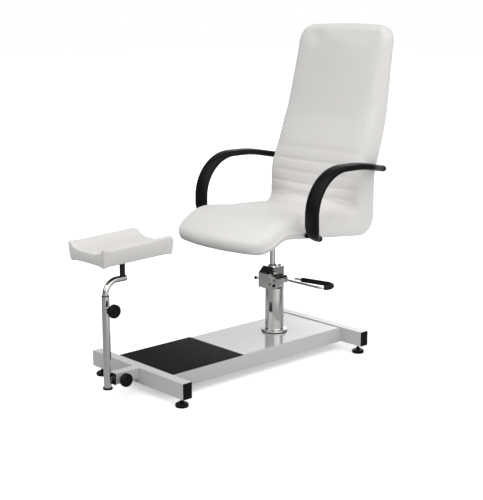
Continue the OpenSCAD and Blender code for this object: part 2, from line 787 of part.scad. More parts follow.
// The under line set in by a depth: corners move along their mitres, hollow
// corners grow rounder and full corners sharper
function left(v) = [-v.y, v.x];
function way(c, i) = unit(c[i + 1] - c[i]);
function inset_line(c, d) = [for (i = [0 : len(c) - 1])
    let(n = left(way(c, max(i - 1, 0))), m = left(way(c, min(i, len(c) - 2))))
    c[i] + d * (n + m) / (1 + n * m)];
function inset_radii(c, r, d) = [for (i = [0 : len(c) - 1])
    i == 0 || i == len(c) - 1 ? 0 : r[i] - d * sign(way(c, i) * left(way(c, i - 1)))];
function under_point(d, t) =
    on_line(inset_line(under_line, d), inset_radii(under_line, under_radii, d), t);

// Where a line from p to q crosses a line from c to d
function cross2(u, v) = u.x * v.y - u.y * v.x;
function crossing(p, q, c, d) = p + (q - p) * cross2(c - p, d - c) / cross2(q - p, d - c);

// Slab that follows the underside and the rear, between two depths
module slab(deep, shallow, from, to, half) translate([0, rod_y, seat_height]) along_x(-half, 2 * half) {
    steps = [for (part = [0 : 8], f = part % 2 == 0 ? [0] : [0 : 1 / 6 : 0.99])
        if (part + f > from && part + f < to) part + f];
    walk = concat([from], steps, [to]);
    polygon(concat([for (t = walk) under_point(shallow, t)],
        [for (i = [len(walk) - 1 : -1 : 0]) under_point(deep, walk[i])]));
}
module shell_board() color(wood) difference() {
    slab(recess, cover_t, board_start, board_end, board_half);
    at_plate_bolts() cylinder(h = seat_thick, d = tee_d);
    at_plate_bolts() translate([0, 0, recess - tee_flange]) cylinder(h = seat_thick, d = tee_d + 8);
    at_arm_bolts() rod_x(-bolt_grip, bolt_grip + 1, arm_bolt_d);
}
module under_cover() color(black) difference() {
    slab(cover_t, 0, board_start, cover_split, board_half);
    at_plate_bolts() translate([0, 0, -1]) cylinder(h = seat_thick, d = plate_bolt_d);
}
module rear_cover() color(white) slab(cover_t, 0, cover_split, board_end, board_half);

// Cushion: rings round the shell from the front edge, over the crease, to the top
function top_point(t) = on_line(top_line, top_radii, t);
function rise(t) = top_point(t).y;
function part_at(z) = lookup(z, [for (t = [4 : 0.1 : 9]) [rise(t), t]]);
function inset(d, r) = d >= r ? 0 : r - sqrt(r * r - (r - d) * (r - d));
function clamp(f) = max(0, min(1, f));
function ease(f) = let(g = clamp(f)) g * g * (3 - 2 * g);

channel_mid = lumbar_height - 10;
channel_half = 9;
function channel_z(k) = channel_mid + (k - (channels - 1) / 2) * channel_pitch;
caps = [6, 15, 32, 50, 70];
seat_stations = [0, 0.33, 0.66, 1, 1.25, 1.5, 1.75, 2, 2.25, 2.5, 2.75, 3, 3.2, 3.4, 3.6, 3.8, 4];
back_low = part_at(channel_z(0) - channel_half);
back_high = part_at(channel_z(channels - 1) + channel_half);
channel_stations = [for (k = [0 : channels - 1], dz = k == channels - 1 ? [-1, 0, 1]
    : [-1, 0, 1, channel_pitch / channel_half / 2]) part_at(channel_z(k) + dz * channel_half)];
back_stations = [for (t = [6.4, 6.8, 7.2, 7.7, 8.2, 8.55, 8.8, 9]) if (t > back_high + 0.1) t];
stations = concat([for (a = caps) [0, a]], [for (t = seat_stations) if (t < back_low - 0.04) [t, 90]],
    [for (t = channel_stations) [t, 90]], [for (t = back_stations) [t, 90]],
    [for (i = [len(caps) - 1 : -1 : 0]) [9, caps[i]]]);

// Depth of the channels and swell of the rolls between them, at a height
function quilt(z) = z < channel_z(0) - channel_half || z > channel_z(channels - 1) + channel_half ? 0
    : let(near = min([for (k = [0 : channels - 1]) abs(z - channel_z(k))]))
    near < channel_half ? -channel_depth * (1 - near / channel_half) : roll_swell;

// One ring, as seen along the shell: flat side down, crowned side up
function ring(t, a) =
    let(up = top_point(t), low = under_point(0, t), mid = (up + low) / 2, full = norm(up - low),
        n = unit(up - low), s = [n.y, -n.x], thick = full * sin(a),
        end = full / 2 * (1 - cos(a)),
        front = t > 4 ? bow_reach : norm(mid - nose_mid) + (t == 0 ? nose_r - nose_r * cos(a) : nose_r),
        top = t < 8 ? bow_reach : norm(mid - (top_point(9) + under_point(0, 9)) / 2)
            + (t == 9 ? top_thick / 2 - top_thick / 2 * cos(a) : top_thick / 2),
        along = t == 0 ? -full / 2 * cos(a) : t == 9 ? full / 2 * cos(a) : 0,
        half = mix(seat_width / 2, top_width / 2, clamp((up.y - arm_rise) / (back_height - arm_rise)))
            - max(inset(front, seat_corner), inset(top, top_corner)),
        fr = min(front_round, 0.6 * thick), rr = min(rear_round, 0.3 * thick),
        bulge = crown * (t < 3 ? 0.5 : mix(0.5, 1, clamp(t - 3))) * sin(a),
        dip = quilt(up.y),
        flat = half - fr,
        face = [for (u = [0, 0.4, 0.75, 1]) [u * flat, thick + bulge * (1 - u * u) + dip]],
        edge = [for (b = [25, 50, 72])
            [flat + fr * sin(b), thick - fr + fr * cos(b) + dip * cos(b) * cos(b)]],
        side = [[half, thick - fr - 0.2], [half, rr], [half - 0.3 * rr, 0.3 * rr], [half - rr, 0]],
        right = concat(face, edge, side),
        count = len(right),
        whole = concat(right, [for (i = [count - 1 : -1 : 1]) [-right[i].x, right[i].y]]))
    [for (p = whole)
        let(q = 1 - (p.x / (seat_width / 2)) * (p.x / (seat_width / 2)),
            forward = nose_bow * q * (1 - ease(front / bow_reach)),
            lift = top_bow * q * (1 - ease(top / bow_reach)),
            c = mid + n * (p.y - thick / 2) + s * along)
        [p.x, c.x - forward, c.y + lift]];

module seat_back_cushion() color(white) difference() {
    translate([0, rod_y, seat_height]) skin([for (q = stations) ring(q[0], q[1])]);
    slab(recess, -recess, board_start, board_end, board_half);
    at_arm_bolts() rod_x(-1, seat_width, arm_bolt_d + 1);
}

// ---- Armrests ------------------------------------------------------------

// Bolts: where the arm's middle line crosses the middle of the shell board
board_mid = inset_line(under_line, cover_t + board_t / 2);
arm_bolt_places = [crossing(arm_low, arm_turn, board_mid[1], board_mid[2]),
    crossing(arm_peak, arm_rear, board_mid[3], board_mid[4])];
module at_arm_bolts() mirrored() for (p = arm_bolt_places)
    translate([board_half, rod_y + p.x, seat_height + p.y]) children();

// One ring of the arm: a soft rectangle, drawn in towards the arm's two ends
arm_end = 7;
arm_stations = concat([0.004, 0.02, 0.05, 0.11, 0.3, 0.6, 0.9], [1 : 0.2 : 2], [2.5], [3 : 0.1 : 4],
    [5 : 0.25 : 6], [6.2, 6.4, 6.6, 6.8, 6.88, 6.94, 6.98, 6.995]);
function arm_point(t) = on_line(arm_line, arm_radii, t);
function arm_ring(t) =
    let(c = arm_point(t), a = arm_point(max(t - 0.002, 0)), b = arm_point(min(t + 0.002, arm_end)),
        n = left(unit(b - a)), spread = min(ease((t - 0.3) / 1.6), ease((arm_end - t) / 1.2)),
        d = min(norm(c - arm_low), norm(c - arm_rear)),
        close = d < arm_t / 2 ? sqrt(1 - (1 - 2 * d / arm_t) * (1 - 2 * d / arm_t)) : 1,
        w = mix(arm_end_w, arm_w, spread), x = mix(arm_x_end, arm_out, spread))
    [for (i = [0 : arm_sides - 1])
        let(q = 360 * i / arm_sides,
            across = sign(cos(q)) * pow(abs(cos(q)), 0.6) * w / 2,
            depth = sign(sin(q)) * pow(abs(sin(q)), 0.6) * arm_t / 2 * close)
        [x + across, rod_y + c.x + n.x * depth, seat_height + c.y + n.y * depth]];
module armrest() difference() {
    skin([for (t = [for (part = arm_stations) each part]) arm_ring(t)]);
    for (p = arm_bolt_places) translate([0, rod_y + p.x, seat_height + p.y]) {
        rod_x(arm_side - 1, arm_end_w, arm_bolt_d);
        rod_x(arm_side + arm_end_w - bolt_head_deep, bolt_head_deep + 20, arm_bolt_d + 6);
    }
}
module armrest_left() color(black) armrest();
module armrest_right() color(black) mirror([1, 0, 0]) armrest();
module arm_spacers() color(black) at_arm_bolts() difference() {
    rod_x(rim, arm_side - seat_width / 2, spacer_d);
    rod_x(0, arm_side, arm_bolt_d);
}
module arm_bolts() color(steel) at_arm_bolts() {
    rod_x(-bolt_grip, bolt_grip + arm_side + arm_end_w - bolt_head_deep - board_half, arm_bolt_d);
    rod_x(arm_side + arm_end_w - bolt_head_deep - board_half, bolt_head_deep - 2, arm_bolt_d + 5);
}

// ---- Footrest ------------------------------------------------------------

module footrest_branch() color(chrome) difference() {
    translate([0, 0, stub_z]) rod_y(post_y, branch_in + post_front, branch_d);
    translate([0, 0, stub_z]) rod_y(post_y - 1, branch_in + post_front + 2, branch_d - 2 * post_wall);
    translate([0, post_y, 0]) cylinder(h = post_top, d = post_d);
}
module footrest_post() color(chrome) {
    translate([0, post_y, post_foot]) difference() {
        cylinder(h = post_top - post_foot, d = post_d);
        translate([0, 0, -1]) cylinder(h = post_top, d = post_bore);
        translate([0, 0, knob_high_z - post_foot]) rod_x(0, post_d, knob_stud + running);
    }
    difference() {
        translate([0, post_y, knob_high_z]) clamp_nut(post_d / 2 - 3);
        translate([0, post_y, 0]) cylinder(h = post_top, d = post_bore + post_wall);
    }
}
module post_cap() color(black) translate([0, post_y, post_foot]) {
    translate([0, 0, -cap_t]) cylinder(h = cap_t, d = post_d);
    cylinder(h = plug_l, d = post_bore);
}
module post_bush() color(black) translate([0, post_y, post_top - bush_l]) difference() {
    union() {
        cylinder(h = bush_l, d = post_bore);
        translate([0, 0, bush_l]) cylinder(h = bush_top, d = post_d);
    }
    translate([0, 0, -1]) cylinder(h = bush_l + bush_top + 2, d = bend_d + running);
    translate([0, 0, bush_l - post_top + knob_high_z]) rod_x(0, post_d, knob_stud + fit_gap);
}

// The bent tube's line: up inside the post, over a quarter turn and back
module bend_line(d, over) {
    translate([0, post_y, bend_start - inner_drop - over]) cylinder(h = inner_drop + over, d = d);
    translate([0, post_y + bend_r, bend_start]) rotate([90, 0, -90]) rotate_extrude(angle = 90)
        translate([bend_r, 0]) circle(d = d);
    translate([0, 0, bend_top]) rod_y(post_y + bend_r, bend_run + over, d);
}
module footrest_bend() color(chrome) difference() {
    bend_line(bend_d, 0);
    bend_line(bend_d - 2 * inner_wall, 1);
}
module bend_plug() color(black) translate([0, 0, bend_top]) {
    rod_y(post_y + bend_r + bend_run, cap_t, bend_d);
    rod_y(post_y + bend_r + bend_run - plug_l, plug_l, bend_d - 2 * inner_wall);
}
module glide_plug() color(black) translate([0, post_y, bend_start - inner_drop]) {
    translate([0, 0, -cap_t]) cylinder(h = cap_t, d = bend_d);
    cylinder(h = plug_l, d = bend_d - 2 * inner_wall);
}

// Places things on the pad's underside
module under_pad() translate([0, pad_y, pad_height]) rotate([pad_pitch, 0, 0]) children();
module pad_post() color(black) difference() {
    translate([0, pad_y, bend_top]) cylinder(h = pad_height - bend_top, d = pad_post_d);
    translate([0, 0, bend_top]) rod_y(post_y, 2 * bend_r + bend_run, bend_d);
    under_pad() block(2 * pad_post_d, -pad_post_d, 2 * pad_post_d, -plate_t, pad_post_d);
}
module at_pad_screws() under_pad() for (x = [-pad_screw_x, pad_screw_x], y = [-pad_screw_y, pad_screw_y])
    translate([x, y, 0]) children();
module pad_plate() color(black) difference() {
    under_pad() translate([0, 0, -plate_t]) linear_extrude(plate_t)
        rounded(2 * pad_screw_x + 24, 2 * pad_screw_y + 24, 10);
    at_pad_screws() translate([0, 0, -plate_t - 1]) cylinder(h = plate_t + 2, d = pad_screw_d);
}
module footrest_board() color(wood) difference() {
    under_pad() linear_extrude(pad_board_t) rounded(pad_board_w, pad_board_l, board_round);
    at_pad_screws() translate([0, 0, -1]) cylinder(h = pad_board_t - 1, d = pad_screw_d);
}
module pad_screws() color(steel) at_pad_screws() {
    translate([0, 0, -plate_t]) cylinder(h = plate_t + pad_board_t - 2, d = pad_screw_d);
    translate([0, 0, -plate_t - 3]) cylinder(h = 3, d = pad_screw_d + 5);
}

// Pad: rings from front to rear, with a trough between two side lips
function pad_ring(y, a) =
    let(half = pad_width / 2 - pad_round * (1 - sin(a)),
        low = pad_round / 2 * (1 - sin(a)), trough = pad_thick - (pad_round - 2) * (1 - sin(a)),
        peak = trough + lip * (0.5 + 0.5 * sin(a)) + lip_rise * (y / pad_length + 0.5),
        out = half + pad_lean / 2,
        right = [[0, trough - 2], [0.45 * half, trough - 1], [0.68 * half, trough + 2],
            [0.84 * half, mix(trough, peak, 0.55)], [0.93 * half, mix(trough, peak, 0.9)],
            [out - 7, peak], [out - 1, peak - 4], [out, peak - 12],
            [half + pad_lean / 4, mix(low, peak, 0.35)], [half, low + 6], [half - 3, low + 1.5],
            [half - 8, low]],
        count = len(right))
    [for (p = concat(right, [[0, low]], [for (i = [count - 1 : -1 : 1]) [-right[i].x, right[i].y]]))
        [p.x, y, p.y]];
module footrest_pad() color(white) difference() {
    under_pad() skin(concat(
        [for (a = pad_caps) pad_ring(-pad_length / 2 + pad_round * (1 - cos(a)), a)],
        [for (f = [-0.3, 0, 0.3]) pad_ring(f * pad_length, 90)],
        [for (i = [len(pad_caps) - 1 : -1 : 0])
            pad_ring(pad_length / 2 - pad_round * (1 - cos(pad_caps[i])), pad_caps[i])]));
    under_pad() translate([0, 0, -1]) linear_extrude(pad_board_t + 1)
        rounded(pad_board_w, pad_board_l, board_round);
}

// Clamp knob: stud, neck and a domed head
module clamp_knob(from, nut_end) rotate([0, 90, 0]) {
    translate([0, 0, from]) cylinder(h = knob_out - from - 4, d = knob_stud);
    translate([0, 0, nut_end + 0.5]) cylinder(h = knob_out - nut_end - 4, d = knob_neck_d);
    translate([0, 0, knob_out - knob_head]) rotate_extrude() {
        square([knob_d / 2 - knob_edge, knob_head]);
        translate([0, knob_edge / 2]) square([knob_d / 2, knob_head - 1.5 * knob_edge]);
        translate([knob_d / 2 - knob_edge, knob_head - knob_edge]) circle(knob_edge);
        polygon([[0, 0], [knob_d / 2 - knob_edge, 0], [knob_d / 2, knob_edge / 2], [0, knob_edge / 2]]);
    }
}
module upper_knob() color(black) translate([0, post_y, knob_high_z])
    clamp_knob(bend_d / 2 + knob_gap, post_d / 2 - 3 + nut_t);
module lower_knob() color(black) translate([0, knob_low_y, stub_z])
    clamp_knob(branch_d / 2 + knob_gap, stub_side / 2 + nut_t);

front_crossbar();
rear_crossbar();
crossbar_caps();
platform();
pump_support();
floor_mat();
foot_nuts();
foot_front_left();
foot_front_right();
foot_rear_left();
foot_rear_right();
footrest_stub();
stub_bush();
lower_clamp_nut();
pump_flange();
pump_bolts();
pump_cylinder();
pressure_tube();
pump_head();
rod_gland();
wiper_ring();
filler_plug();
lever_pin();
stop_screw();
plunger_spring();
piston_rod();
piston();
lever_barrel();
lever_rod();
pedal_grip();
pump_plunger();
lock_plunger();
lock_ball();
seat_collar();
collar_screws();
seat_plate();
plate_bolts();
tee_nuts();
shell_board();
seat_back_cushion();
under_cover();
rear_cover();
armrest_left();
armrest_right();
arm_spacers();
arm_bolts();
footrest_branch();
footrest_post();
post_cap();
post_bush();
footrest_bend();
bend_plug();
glide_plug();
pad_post();
pad_plate();
footrest_board();
footrest_pad();
pad_screws();
upper_knob();
lower_knob();
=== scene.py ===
"""Pedicure chair: upholstery, armrests, foot pad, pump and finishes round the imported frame.

Every place is in metres in the frame's own axes: +Z up, the sitter faces -Y, and +X is the
sitter's left, where the pump's lever is.
"""

import json
import math

import bmesh
import bpy
import numpy as np
from bpy.props import FloatProperty, FloatVectorProperty, IntProperty, PointerProperty
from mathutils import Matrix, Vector

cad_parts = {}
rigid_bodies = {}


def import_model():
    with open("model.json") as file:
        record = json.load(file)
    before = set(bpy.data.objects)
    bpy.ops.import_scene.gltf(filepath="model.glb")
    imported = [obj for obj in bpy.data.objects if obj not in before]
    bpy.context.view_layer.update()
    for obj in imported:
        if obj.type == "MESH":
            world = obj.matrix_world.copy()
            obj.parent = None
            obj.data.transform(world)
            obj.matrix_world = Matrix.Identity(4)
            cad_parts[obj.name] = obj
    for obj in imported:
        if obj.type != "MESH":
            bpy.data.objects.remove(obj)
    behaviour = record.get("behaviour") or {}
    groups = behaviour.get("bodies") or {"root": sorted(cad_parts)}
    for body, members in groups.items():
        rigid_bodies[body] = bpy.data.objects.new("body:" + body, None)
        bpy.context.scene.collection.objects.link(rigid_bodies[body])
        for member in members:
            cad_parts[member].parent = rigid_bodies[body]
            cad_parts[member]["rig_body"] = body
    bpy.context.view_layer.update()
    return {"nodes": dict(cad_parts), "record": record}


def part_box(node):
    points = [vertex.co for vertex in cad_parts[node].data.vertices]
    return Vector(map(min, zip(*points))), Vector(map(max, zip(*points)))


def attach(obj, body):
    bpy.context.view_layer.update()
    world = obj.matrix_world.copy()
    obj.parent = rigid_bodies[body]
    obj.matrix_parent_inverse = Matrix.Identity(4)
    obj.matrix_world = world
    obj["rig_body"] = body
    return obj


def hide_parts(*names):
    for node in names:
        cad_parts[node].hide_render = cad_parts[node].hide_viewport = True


bl_info = {
    "name": "Pedicure chair",
    "version": (1, 0, 0),
    "blender": (4, 5, 0),
    "location": "View3D > Sidebar > Chair",
    "description": "Builds the looks of a pedicure chair round its packed frame",
    "category": "Add Mesh",
}

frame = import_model()
ROD_LOW, ROD_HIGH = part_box("piston_rod")
ROD_Y = (ROD_LOW.y + ROD_HIGH.y) / 2
PAD_LOW, PAD_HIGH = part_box("footrest_pad")
BARREL_LOW, BARREL_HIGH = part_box("lever_barrel")
DEGREE = math.pi / 180


# ---- Sizes and colours ---------------------------------------------------------------


def length(name, about, value):
    """A length that the sidebar shows, in metres."""
    return FloatProperty(name=name, description=about, default=value, unit="LENGTH", precision=4)


def angle(name, about, degrees):
    """An angle that the sidebar shows in degrees."""
    return FloatProperty(
        name=name, description=about, default=degrees * DEGREE, subtype="ANGLE", unit="ROTATION"
    )


def linear(code):
    """Linear red, green, blue and 1 from an sRGB hex code."""
    value = np.array([int(code[i : i + 2], 16) for i in (1, 3, 5)]) / 255
    bent = np.where(value <= 0.04045, value / 12.92, ((value + 0.055) / 1.055) ** 2.4)
    return (*bent.tolist(), 1.0)


def colour(name, about, code):
    """A colour that the sidebar shows, with its default as an sRGB hex code."""
    return FloatVectorProperty(
        name=name, description=about, default=linear(code), subtype="COLOR", size=4, min=0, max=1
    )


class ShellSizes(bpy.types.PropertyGroup):
    edge_height: length("Edge height", "Floor to the seat's edge above the piston rod", 0.596)
    seat_width: length("Seat width", "Width of the seat", 0.512)
    top_width: length("Top width", "Width of the back at its top", 0.498)
    seat_front: length("Seat front", "Piston rod to the front corners of the seat", 0.304)
    back_front: length("Back front", "Piston rod to the lower front of the back", 0.222)
    seat_slope: angle("Seat slope", "Slope of the seat, down towards the back", 4.4)
    under_slope: angle("Underside slope", "Slope of the seat's underside", 5.5)
    droop: angle("Front droop", "Angle of the drooping front edge", 35)
    nose_thick: length("Front thickness", "Thickness of the drooping front edge", 0.062)
    nose_drop: length("Front drop", "Middle of the front edge below the seat's edge", 0.079)
    nose_length: length("Front length", "Length of the drooping front", 0.100)
    nose_bow: length("Front bow", "Bow of the seat's front edge, forward of its corners", 0.050)
    seat_thick: length("Seat thickness", "Seat's edge to the underside at the rod", 0.080)
    back_thick: length("Lumbar thickness", "Thickness of the back over the lumbar roll", 0.105)
    top_thick: length("Top thickness", "Thickness of the back near its top", 0.054)
    back_height: length("Back height", "Height of the back's top over the seat's edge", 0.720)
    lumbar_height: length("Lumbar height", "Height of the lumbar bend over the seat's edge", 0.138)
    lumbar_lean: angle("Lumbar lean", "Lean of the back over the lumbar bend", 19.3)
    bend_height: length("Bend height", "Height of the upper bend over the seat's edge", 0.387)
    top_lean: angle("Top lean", "Lean of the back at its top", 13.8)
    crease_r: length("Crease radius", "Radius of the crease between seat and back", 0.045)
    crown: length("Crown", "Crown of the cushion over its edges", 0.012)
    bridge: length("Bridge", "How far the cover bridges the crease between seat and back", 0.018)
    channels: IntProperty(name="Channels", description="Channels sewn across the lumbar roll", default=5)
    channel_pitch: length("Channel pitch", "Distance between two channels", 0.047)
    channel_depth: length("Channel depth", "Depth of a channel under the rolls", 0.0027)
    rim: length("Rim", "Cushion's edge to the panels on its rear", 0.034)
    swell: length("Swell", "Most that the stuffing may move the cover", 0.006)


class ArmSizes(bpy.types.PropertyGroup):
    pad_width: length("Pad width", "Width of an armrest's pad", 0.063)
    end_width: length("End width", "Width of an armrest at its ends", 0.038)
    thickness: length("Thickness", "Thickness of an armrest", 0.026)
    gap: length("Gap", "Seat's side to the middle of an armrest's pad", 0.060)
    stand_off: length("Stand-off", "Seat's side to the inner face of an armrest's ends", 0.009)
    rise: length("Rise", "Top of an armrest over the seat's edge", 0.207)
    front: length("Front", "Piston rod to the armrest's front", 0.118)
    back: length("Back", "Piston rod to the armrest's rear end", 0.337)
    bend: length("Bend", "Radius of the upper bend", 0.166)
    peak: length("Peak", "Piston rod to the middle of the arm's gentle rear bend", 0.165)
    slope: angle("Slope", "Slope of the arm's rear, down towards its end", 10.1)


class FootPadSizes(bpy.types.PropertyGroup):
    length_y: length("Length", "Length of the foot pad", 0.304)
    width: length("Width", "Width of the foot pad's underside", 0.206)
    thickness: length("Thickness", "Thickness of the foot pad in its trough", 0.044)
    lip: length("Lip", "Height of the side lips over the trough", 0.020)
    lean: length("Lean", "How far the lips lean out", 0.008)
    pitch: angle("Pitch", "Rise of the foot pad towards its rear", 1.8)
    height: length("Height", "Height of the pad's underside over the floor", 0.519)
    swell: length("Swell", "Most that the stuffing may move the cover", 0.004)


class LeverSizes(bpy.types.PropertyGroup):
    rod: length("Rod", "Diameter of the lever's rod", 0.009)
    grip: length("Grip", "Diameter of the rubber grip", 0.019)
    reach: length("Reach", "Pump's middle plane to the end of the loop", 0.270)
    loop: length("Loop", "Gap between the middles of the loop's two legs", 0.072)
    closing: length("Closing", "How far the returning leg closes on the first", 0.032)
    returning: length("Returning leg", "Length of the returning leg", 0.150)
    bare: length("Bare end", "Bare end of the returning leg, past the grip", 0.030)
    grip_angle: angle("Grip start", "Angle of the bend at which the grip starts", 50)


class Finishes(bpy.types.PropertyGroup):
    upholstery: colour("Upholstery", "Soft white synthetic leather", "#E1DFDD")
    thread: colour("Thread", "Sewing thread", "#CFCDC8")
    lining: colour("Lining", "Black lining cloth under the seat", "#17171A")
    powder: colour("Powder coat", "Gloss pale powder coat of the base", "#C8CAC9")
    black_coat: colour("Black coat", "Satin black powder coat", "#0E0E10")
    moulded: colour("Moulded black", "Moulded black plastic", "#0C0C0E")
    plating: colour("Chrome", "Bright chrome plating", "#E2E2DF")
    zinc: colour("Zinc", "Zinc-plated fasteners", "#9FA1A4")
    rubber: colour("Rubber", "Black floor mat and grip", "#111112")
    beech: colour("Plywood", "Beech plywood", "#BCA684")


class StudioSettings(bpy.types.PropertyGroup):
    azimuth: angle("Camera azimuth", "Camera's way round the chair", 47.26)
    elevation: angle("Camera elevation", "Camera's height over the horizon", 12.18)
    lens: FloatProperty(name="Lens", description="Focal length", default=79.44, unit="CAMERA")
    key: FloatProperty(name="Key", description="Strength of the key light", default=1.18)
    fill: FloatProperty(name="Fill", description="Strength of the fill light", default=1.43)
    sky: FloatProperty(name="Sky", description="Strength of the light from all round", default=0.56)


GROUPS = {
    "chair_shell": ShellSizes,
    "chair_arms": ArmSizes,
    "chair_foot_pad": FootPadSizes,
    "chair_lever": LeverSizes,
    "chair_finishes": Finishes,
    "chair_studio": StudioSettings,
}


# ---- Lines and meshes ----------------------------------------------------------------


def unit(v):
    """v divided by its length, along the last axis."""
    return v / np.maximum(np.linalg.norm(v, axis=-1, keepdims=True), 1e-12)


def ease(f):
    """Smooth step 3 f^2 - 2 f^3 of f held between 0 and 1."""
    g = np.clip(f, 0, 1)
    return g * g * (3 - 2 * g)


def travelled(path):
    """Distance along a path from its start to each of its points."""
    return np.concatenate([[0], np.cumsum(np.linalg.norm(np.diff(path, axis=0), axis=1))])


def arc(centre, radius, start, end, steps):
    """Arc c + r (cos b, sin b), b going from start to end in degrees."""
    b = np.linspace(start * DEGREE, end * DEGREE, steps)[:, None]
    return np.asarray(centre) + radius * np.concatenate([np.cos(b), np.sin(b)], 1)


def rounded_line(corners, radii, steps=40):
    """Line with rounded corners, as (part numbers, points).

    Part 2i is the straight run after corner i and part 2i+1 the arc round corner i+1. With
    unit directions u before and v after a corner c, turn a and cut = r tan(a/2), the arc is
    c - cut u + r (sin(a f) u + (1 - cos(a f)) n), where n is v's part square to u."""
    c = np.asarray(corners, float)
    u = unit(np.diff(c, axis=0))
    turns = np.arccos(np.clip((u[:-1] * u[1:]).sum(1), -1, 1))
    cuts = np.concatenate([[0], np.asarray(radii[1:-1]) * np.tan(turns / 2), [0]])
    f = np.linspace(0, 1, steps)[:, None]
    parts, points = [], []
    for i, direction in enumerate(u):
        start, end = c[i] + direction * cuts[i], c[i + 1] - direction * cuts[i + 1]
        parts.append(2 * i + f[:, 0])
        points.append(start + (end - start) * f)
        if i < len(turns):
            square = unit(u[i + 1] - (u[i + 1] @ direction) * direction)
            bend = np.sin(turns[i] * f) * direction + (1 - np.cos(turns[i] * f)) * square
            parts.append(2 * i + 1 + f[:, 0])
            points.append(end + radii[i + 1] * bend)
    return np.concatenate(parts), np.concatenate(points)


def on(line, t):
    """Points of a rounded line at part numbers t."""
    return np.stack([np.interp(t, line[0], line[1][:, k]) for k in (0, 1)], -1)


def surface(name, points, sharp=None):
    """Object over a grid of points P(i, j), row after row, or over several such grids.

    Quads join (i, j), (i, j+1), (i+1, j+1), (i+1, j), and j wraps, since each row closes on
    itself. Points that fall together are merged, which closes poles and seams, and the
    faces are turned outwards."""
    grids = points if points.ndim == 4 else points[None]
    count, rows, columns = grids.shape[:3]
    start = (np.arange(count) * rows * columns)[:, None, None]
    i = np.arange(rows - 1)[None, :, None]
    j = np.arange(columns)[None, None, :]
    k = (j + 1) % columns
    low, high = start + i * columns, start + (i + 1) * columns
    quads = np.stack([low + j, low + k, high + k, high + j], -1)
    mesh = bpy.data.meshes.new(name)
    mesh.from_pydata(grids.reshape(-1, 3).tolist(), [], quads.reshape(-1, 4).tolist())
    merge = 1e-5
    work = bmesh.new()
    work.from_mesh(mesh)
    bmesh.ops.remove_doubles(work, verts=work.verts, dist=merge)
    bmesh.ops.dissolve_degenerate(work, edges=work.edges, dist=merge / 10)
    bmesh.ops.recalc_face_normals(work, faces=work.faces)
    work.to_mesh(mesh)
    work.free()
    return shown(name, mesh, sharp)


def shown(name, mesh, sharp):
    """Object of a mesh, smooth but for its edges past the sharp angle in degrees."""
    mesh.shade_smooth()
    if sharp is not None:
        mesh.set_sharp_from_angle(angle=sharp * DEGREE)
    piece = bpy.data.objects.new(name, mesh)
    bpy.context.scene.collection.objects.link(piece)
    return piece


def tube(name, path, radius, sides=24):
    """Round bar along a path of points.

    Each ring is P + r (cos b N + sin b B). N is the path's normal carried along: the part of
    the last N square to the direction T, and B = T x N. radius is one value or one for each
    point; where it ends at 0 the bar closes in a pole."""
    path = np.asarray(path, float)
    tangent = unit(np.gradient(path, axis=0))
    normal = np.zeros_like(path)
    aside = np.array([0, 0, 1.0]) if abs(tangent[0][2]) < 0.9 else np.array([1.0, 0, 0])
    normal[0] = unit(aside - (aside @ tangent[0]) * tangent[0])
    for i in range(1, len(path)):
        normal[i] = unit(normal[i - 1] - (normal[i - 1] @ tangent[i]) * tangent[i])
    across = np.cross(tangent, normal)
    b = np.linspace(0, 2 * np.pi, sides, endpoint=False)[None, :, None]
    r = np.broadcast_to(np.asarray(radius, float).reshape(-1, 1, 1), (len(path), 1, 1))
    return surface(name, path[:, None] + r * (np.cos(b) * normal[:, None] + np.sin(b) * across[:, None]))


def dome_ends(path, radius):
    """Path and radii of a bar whose two ends are quarter rounds: r sin a, r cos a past."""
    a = np.linspace(0, np.pi / 2, 6)[:-1]
    first, last = unit(path[0] - path[1]), unit(path[-1] - path[-2])
    head = path[0] + np.outer(radius * np.cos(a), first)
    tail = path[-1] + np.outer(radius * np.cos(a[::-1]), last)
    radii = np.concatenate([radius * np.sin(a), np.full(len(path), radius), radius * np.sin(a[::-1])])
    return np.vstack([head, path, tail]), radii


def turned(name, profile, centre, axis="z", segments=72):
    """Turned piece: each profile point (r, h) goes round the axis, x or z, with h along it and
    r cos a and r sin a across.

    A profile that starts and ends at r = 0 is solid, and a closed one is a ring."""
    profile = np.asarray(profile, float)
    a = np.linspace(0, 2 * np.pi, segments, endpoint=False)[None, :]
    r, h = profile[:, :1], profile[:, 1:] + 0 * a
    across = (r * np.cos(a), r * np.sin(a))
    points = np.stack((*across, h) if axis == "z" else (h, *across), -1)
    return surface(name, points + np.asarray(centre, float), sharp=35)


def round_ring(outer, inner, low, high, edge_r):
    """Closed profile of a tube's wall with its outer edges broken by a radius."""
    lower = arc((outer - edge_r, low + edge_r), edge_r, -90, 0, 5)
    upper = arc((outer - edge_r, high - edge_r), edge_r, 0, 90, 5)
    return np.vstack([[inner, low], lower, upper, [inner, high], [inner, low]])


def eased_copy(node, slot, width, segments):
    """Puts a copy in a CAD node's place with its sharp edges broken: merged, its flat faces
    joined, then each edge past 35 degrees is bevelled by the width."""
    source, limit = frame["nodes"][node], 35
    work = bmesh.new()
    work.from_mesh(source.data)
    bmesh.ops.remove_doubles(work, verts=work.verts, dist=2e-6)
    bmesh.ops.dissolve_limit(work, angle_limit=0.5 * DEGREE, verts=work.verts, edges=work.edges)
    mesh = bpy.data.meshes.new(node + "_finished")
    work.to_mesh(mesh)
    work.free()
    piece = shown(node + "_finished", mesh, limit)
    bevel = piece.modifiers.new("Broken edges", "BEVEL")
    bevel.width = width
    bevel.segments = segments
    bevel.limit_method = "ANGLE"
    bevel.angle_limit = limit * DEGREE
    bevel.use_clamp_overlap = True
    bevel.harden_normals = True
    return fitted(piece, slot, source["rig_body"], node)


# ---- Stuffing ------------------------------------------------------------------------


